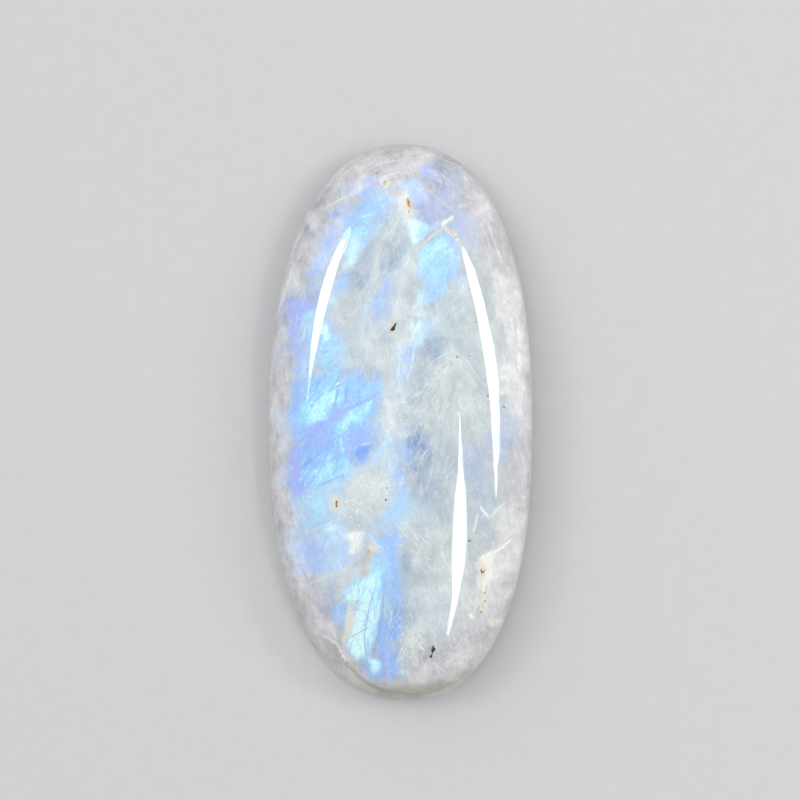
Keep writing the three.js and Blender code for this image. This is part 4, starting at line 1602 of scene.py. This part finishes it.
# Strewn white threads: count, width, length, lean, spread and corners.
VEIL_FIELDS = [
    (46, 0.4, 9, -46, 20, [(396, 516), (420, 520), (456, 556), (458, 590), (424, 572), (400, 545)]),
    (40, 0.32, 9, 28, 22, [(404, 470), (430, 440), (452, 450), (450, 520), (420, 530)]),
    (28, 0.32, 10, 8, 18, [(408, 560), (450, 570), (444, 640), (410, 636)]),
    (28, 0.32, 10, 32, 18, [(452, 350), (424, 362), (410, 400), (414, 430), (440, 410)]),
    (28, 0.32, 10, -34, 18, [(454, 350), (474, 362), (490, 410), (484, 440), (456, 410)]),
    (24, 0.32, 10, 4, 14, [(430, 400), (470, 400), (474, 480), (430, 480)]),
    (26, 0.32, 9, 30, 20, [(384, 430), (424, 430), (420, 480), (384, 500)]),
    (44, 0.9, 1.6, 20, 90, [(340, 478), (384, 460), (392, 500), (372, 532), (336, 516)]),
    (30, 0.8, 1.6, 20, 90, [(380, 400), (406, 396), (412, 418), (392, 440), (376, 420)]),
    (26, 0.4, 6, 30, 60, [(404, 630), (424, 626), (430, 660), (414, 672), (400, 660)]),
    (26, 0.32, 8, -60, 34, [(430, 650), (470, 630), (480, 660), (446, 684), (420, 676)]),
    (14, 0.28, 12, 6, 8, [(360, 326), (414, 320), (412, 392), (362, 392)]),
    (22, 0.32, 9, -20, 12, [(486, 230), (506, 290), (520, 380), (508, 390), (494, 300)]),
    (26, 0.28, 8, 30, 24, [(300, 380), (372, 374), (360, 470), (300, 490)]),
    (16, 0.28, 9, 4, 12, [(376, 590), (404, 600), (400, 672), (374, 672)]),
    (16, 0.28, 8, 30, 18, [(312, 290), (338, 220), (388, 200), (352, 270), (330, 310)]),
    (20, 0.28, 9, 26, 16, [(350, 300), (392, 214), (414, 240), (392, 310)]),
    (26, 0.32, 9, 62, 16, [(320, 220), (360, 165), (400, 152), (390, 180), (350, 200)]),
    (26, 0.32, 9, -50, 16, [(420, 160), (460, 172), (500, 230), (470, 226), (430, 190)]),
    (28, 0.32, 8, 10, 26, [(280, 400), (290, 300), (310, 230), (320, 250), (296, 340)]),
    (28, 0.32, 8, -14, 26, [(282, 430), (292, 470), (316, 610), (300, 600), (280, 500)]),
    (28, 0.32, 8, 16, 30, [(500, 400), (522, 400), (510, 560), (470, 650), (480, 560)]),
    (50, 0.3, 3, 8, 30, [(386, 602), (404, 604), (406, 640), (390, 644)]),
    (40, 0.6, 3, -30, 60, [(398, 628), (420, 628), (420, 664), (402, 664)]),
    (26, 0.6, 1.6, 60, 60, [(480, 553), (494, 547), (511, 537), (514, 541), (497, 553), (482, 561)]),
]

# Blue and violet cracks in the flash: width and route.
CRACKS = [
    (0.8, (376, 579), (374, 592), (371, 601), (368, 613), (366, 625), (364, 636), (365, 650), (367, 662)),
    (0.6, (346, 640), (355, 635), (364, 630), (376, 623)),
    (0.5, (358, 585), (360, 592), (356, 604)),
    (0.5, (365, 587), (372, 594), (378, 592)),
    (0.5, (355, 609), (361, 610), (368, 613)),
    (0.5, (353, 639), (351, 646), (349, 653)),
    (0.45, (369, 638), (368, 646), (366, 652)),
    (0.6, (385, 590), (383, 612), (380, 633), (376, 648), (373, 661)),
    (0.45, (302, 433), (316, 427), (328, 422), (336, 417), (347, 413), (361, 402), (374, 395)),
    (0.45, (337, 385), (337, 395), (336, 404), (333, 413)),
    (0.35, (347, 381), (347, 395), (346, 405)),
    (0.5, (307, 394), (314, 384), (318, 379)),
    (0.5, (310, 484), (318, 474), (326, 458)),
    (0.5, (327, 479), (337, 469), (344, 463)),
    (0.5, (312, 491), (325, 483), (336, 478), (346, 473)),
    (0.45, (314, 350), (322, 351), (330, 353)),
    (0.45, (315, 360), (324, 358), (334, 355)),
    (0.45, (300, 470), (310, 463), (322, 452)),
    (0.45, (308, 529), (322, 524), (338, 516)),
    (0.5, (362, 222), (368, 226), (374, 232)),
]

# Strewn blue threads: count, width, length, lean, spread and corners.
CRACK_FIELDS = [
    (26, 0.3, 14, 34, 16, [(298, 380), (372, 372), (368, 420), (340, 476), (298, 490)]),
    (14, 0.3, 16, 8, 10, [(350, 590), (378, 584), (374, 656), (352, 650)]),
    (20, 0.3, 12, 60, 14, [(296, 310), (338, 322), (338, 366), (298, 382)]),
    (14, 0.3, 10, 52, 16, [(318, 284), (344, 214), (388, 202), (356, 250)]),
]

RUST_GRAINS = [
    (385, 181.5, 0.8), (384, 183.5, 0.7), (382, 186, 0.5), (389, 195, 0.5), (408, 200, 0.8), (409, 202, 1.1),
    (408.5, 204, 1.0), (409.5, 206, 0.7), (409, 211, 0.7), (387, 488, 0.7), (396, 491, 0.6), (373, 507, 0.6),
    (374, 509, 0.5), (382, 493, 0.4), (378, 495, 0.4), (375, 497, 0.4), (450, 230, 0.6), (451.5, 232, 0.5),
    (453, 234, 0.6), (456, 237, 0.7), (508, 301, 0.6), (509, 303, 0.6), (512, 314, 0.5), (487, 586, 0.6),
    (486, 588, 0.4), (485, 593, 0.8), (486, 597, 0.5), (485, 601, 0.8), (486, 603, 0.5), (483, 606, 0.6),
    (484, 608, 0.4), (481, 612, 1.1), (338, 588, 0.5), (339, 586, 0.4), (341, 654, 0.6), (368, 552, 0.8),
    (369.5, 551, 0.6), (354.5, 304, 0.5), (340, 323, 0.5), (335.5, 318.5, 0.5), (361, 558, 0.4),
    (356, 565, 0.5), (437, 276, 0.4), (369, 303, 0.5), (346, 318, 0.6),
    (344, 317, 0.4), (353, 308, 0.4), (417, 262, 0.4), (345, 614, 0.4), (344, 622, 0.4), (336.4, 504.5, 1.0),
    (480, 576, 0.5), (483, 580, 0.4), (493, 552, 0.5),
]

DARK_INCLUSIONS = [
    (396, 323.4, 0.7), (395.4, 324.7, 0.9), (394.7, 326, 1.0), (394, 327.3, 1.3), (393.1, 328.6, 1.7),
    (392.0, 329.8, 1.3),
    (433.2, 646, 0.8), (433.4, 648, 1.5), (435, 649.5, 0.8), (433, 650.5, 1.6), (431.6, 650, 0.7),
    (432.4, 652.5, 1.0), (432, 654.5, 0.9), (431, 656.5, 1.2),
    (469.3, 540.8, 1.0), (481.4, 569.5, 0.6), (481.2, 571, 0.8), (482, 572.4, 0.9), (483.4, 572, 0.8),
    (484, 570.6, 0.5),
    (336.3, 502.2, 0.9), (336.5, 506.6, 0.8), (504, 407, 0.8), (488, 396, 0.9), (457, 357, 0.8),
    (386, 500, 0.9), (470, 356, 0.6), (475, 322, 0.6), (501, 326, 0.6), (440, 370, 0.5), (326, 644.6, 0.4),
]

WHITE_CRYSTALS = [
    (362, 478, 1.1), (359, 481, 0.7), (354, 500, 1.3), (356, 498, 0.8), (360, 505, 1.7), (362.5, 503.5, 0.9),
    (349, 492, 0.7), (366, 486, 0.8), (371, 495, 0.7), (356, 487, 0.8), (352, 509, 0.7), (374, 484, 0.8),
    (368, 502, 0.8), (346, 502, 0.6), (378, 490, 0.6), (364, 494, 0.7), (420, 636, 1.0), (419, 645, 1.4),
    (421, 648.5, 1.1), (417, 640, 0.7), (412, 652, 0.7), (416, 658, 0.8), (473, 615, 1.3), (475, 618, 0.8),
    (390, 405, 0.7), (398, 409, 0.7), (394, 417, 0.6), (401, 420, 0.6), (337, 384.5, 1.4), (482, 556, 1.0),
    (486, 555, 0.8), (491, 552, 0.9), (497, 549, 0.7), (503, 545, 0.6), (391, 612, 0.7), (390.5, 619, 0.8),
    (390, 626, 0.7), (400, 618, 0.7), (399.5, 627, 0.8), (402, 634, 0.7), (296, 457, 0.5), (372, 210, 0.4),
]


def strewn_blades(fields):
    """Blades for fields of strewn routes, at many depths of the polish."""
    blades = []
    for count, width, length, lean, spread, corners in fields:
        for route in strewn_routes(count, length, lean, spread, corners):
            uneven = width * strewn.uniform(*STREWN_WIDTHS) * PIXEL
            blades.append((drawn(route), uneven, strewn.uniform(*STREWN_DEPTHS)))
    return blades


def white_veils():
    """White lines and threads."""
    material = matt("white_veil", dark=(230, 234, 238), pale=(250, 252, 253), scale=2.0)
    blades = [(drawn(route), width * PIXEL, VEIL_DEPTH) for width, *route in VEILS]
    return sealed_blades("white_veils", material, [*blades, *strewn_blades(VEIL_FIELDS)])


def blue_cracks():
    """Blue lines and threads in the flash."""
    material = matt("blue_crack", dark=(136, 174, 222), pale=(160, 196, 236), scale=3.0)
    blades = [(drawn(route), width * PIXEL, CRACK_DEPTH) for width, *route in CRACKS]
    return sealed_blades("blue_cracks", material, [*blades, *strewn_blades(CRACK_FIELDS)])


def rust_grains():
    """Specks of rust along the stained cracks."""
    material = matt("rust", dark=(158, 104, 46), pale=(214, 156, 88), scale=6.0)
    return sealed_grains("rust_grains", material, RUST_GRAINS, RUST_DEPTH)


def white_crystals():
    """Sugary white grains in the clouds."""
    material = matt("white_crystal", dark=(236, 238, 236), pale=(252, 252, 250), scale=4.0)
    return sealed_grains("white_crystals", material, WHITE_CRYSTALS, CRYSTAL_DEPTH)


def dark_inclusions():
    """Black grains, of which one row makes a short rod."""
    material = matt("dark_mineral", dark=(8, 7, 6), pale=(48, 38, 26), scale=6.0)
    return sealed_grains("dark_inclusions", material, DARK_INCLUSIONS, DARK_DEPTH)


# ---------------------------------------------------------------- stage, lamps and camera

SUN_FROM = (-0.9, 0.8, 1)
SUN_STRENGTH = 1.14
SUN_SPREAD = 80  # degrees
WORLD_STRENGTH = 0.49
FLOOR_REACH = 3.0  # metres to each side
FLOOR_DARK = (208, 209, 211)
FLOOR_PALE = (214, 215, 217)

# Each strip lamp stands at a plane of constant x. Its ends are given as (y, z) over that distance. A core
# is seen only as a reflection in the polish, and whitens the strip's own.
SIDE_X = 250
HIGH_X = 180
STRIP_RADIANCE = 7.2
CORE_RADIANCE = 10
STRIPS = [
    {"name": "left", "x": -SIDE_X, "ends": [(0.10, 0.64), (0.94, 1.23)], "width": 48},
    {"name": "right", "x": SIDE_X, "ends": [(-0.08, 0.51), (0.82, 1.21)], "width": 46},
    {"name": "high", "x": HIGH_X, "ends": [(-0.06, 1.67), (-1.26, 1.56)], "width": 40},
]
CORES = [
    {"name": "left_core", "x": -SIDE_X, "ends": [(0.15, 0.67), (0.90, 1.20)], "width": 52},
    {"name": "left_head", "x": -SIDE_X, "ends": [(0.68, 1.06), (1.17, 1.40)], "width": 56, "radiance": 5},
    {"name": "left_tail", "x": -SIDE_X, "ends": [(0.03, 0.60), (0.70, 1.06)], "width": 20, "radiance": 6},
    {"name": "right_core", "x": SIDE_X, "ends": [(-0.04, 0.55), (0.78, 1.18)], "width": 48},
    {"name": "right_swell", "x": SIDE_X, "ends": [(-0.08, 0.46), (0.24, 0.70)], "width": 42, "radiance": 8},
    {"name": "right_tail", "x": SIDE_X, "ends": [(-0.17, 0.49), (0.30, 0.82)], "width": 24},
    {"name": "high_core", "x": HIGH_X, "ends": [(-0.18, 1.67), (-0.98, 1.60)], "width": 66},
    {"name": "high_tail", "x": HIGH_X, "ends": [(0.02, 1.72), (-1.60, 1.56)], "width": 20},
    {"name": "high_foot", "x": HIGH_X, "ends": [(-0.90, 1.60), (-1.64, 1.64)], "width": 32, "radiance": 4},
]


def camera():
    """Looks straight down on the stone, with its +Y end up in the picture, as the photograph does."""
    data = bpy.data.cameras.new("camera")
    data.lens = LENS
    data.sensor_width = SENSOR
    data.clip_start = 0.01
    data.clip_end = 10
    made = placed("camera", data)
    made.location = Vector((*CAMERA_PLACE, GIRDLE_TOP + CAMERA_DISTANCE)) * METRES
    bpy.context.scene.camera = made
    return made


def strip_lamp(name, x, ends, width, radiance=STRIP_RADIANCE):
    """A long oval lamp that faces the stone."""
    first, last = (Vector((x, y * abs(x), z * abs(x))) for y, z in ends)
    middle = (first + last) / 2
    along = (last - first).normalized()
    side = along.cross(middle.normalized()).normalized()
    facing = side.cross(along)
    data = bpy.data.lights.new("strip_" + name, "AREA")
    data.shape = "ELLIPSE"
    data.size = width * METRES
    data.size_y = (last - first).length * METRES
    area_of_lamp = math.pi / 4 * data.size * data.size_y
    data.energy = radiance * area_of_lamp * math.pi
    made = placed("strip_" + name, data)
    turn = Matrix((side, along, facing)).transposed().to_4x4()
    made.matrix_world = Matrix.Translation(middle * METRES) @ turn
    made.visible_camera = False
    return made


def core_lamp(name, x, ends, width, radiance=CORE_RADIANCE):
    """A strip lamp that lights nothing matt, so that only the polish shows it."""
    made = strip_lamp(name, x, ends, width, radiance)
    made.visible_diffuse = False
    return made


def soft_sun():
    """Even light from above, too broad to cast an edge. It isn't seen in the polish."""
    data = bpy.data.lights.new("soft_sun", "SUN")
    data.energy = SUN_STRENGTH
    data.angle = math.radians(SUN_SPREAD)
    made = placed("soft_sun", data)
    made.rotation_euler = Vector(SUN_FROM).to_track_quat("Z", "Y").to_euler()
    made.visible_glossy = False
    made.visible_transmission = False
    return made


def floor_paint():
    """A matt, faintly mottled pale grey."""
    nodes = Nodes("pale_floor")
    grain = nodes.noise(nodes.millimetres(), scale=0.9, detail=4)
    colour = nodes.mixed(grain, linear(*FLOOR_DARK), linear(*FLOOR_PALE))
    inputs = {"Base Color": colour, "Roughness": 0.9, "Specular IOR Level": 0.2}
    return nodes.finished(nodes.principled(inputs))


def pale_floor():
    """A wide square at the height of the stone's flat back."""
    mesh = bpy.data.meshes.new("floor")
    corners = [(-1, -1), (1, -1), (1, 1), (-1, 1)]
    mesh.from_pydata([(x * FLOOR_REACH, y * FLOOR_REACH, 0) for x, y in corners], [], [(0, 1, 2, 3)])
    mesh.materials.append(floor_paint())
    made = placed("floor", mesh)
    return made


def pale_world():
    """Even white light from all round."""
    world = bpy.data.worlds.new("pale_world")
    world.use_nodes = True
    background = world.node_tree.nodes["Background"]
    background.inputs["Color"].default_value = (1.0, 1.0, 1.0, 1)
    background.inputs["Strength"].default_value = WORLD_STRENGTH
    bpy.context.scene.world = world


camera()
pale_floor()
pale_world()
soft_sun()
for strip in STRIPS:
    strip_lamp(**strip)
for core in CORES:
    core_lamp(**core)
polished_stone()
inside_of_stone()
white_veils()
blue_cracks()
rust_grains()
white_crystals()
dark_inclusions()
bpy.context.scene.view_settings.view_transform = "Standard"
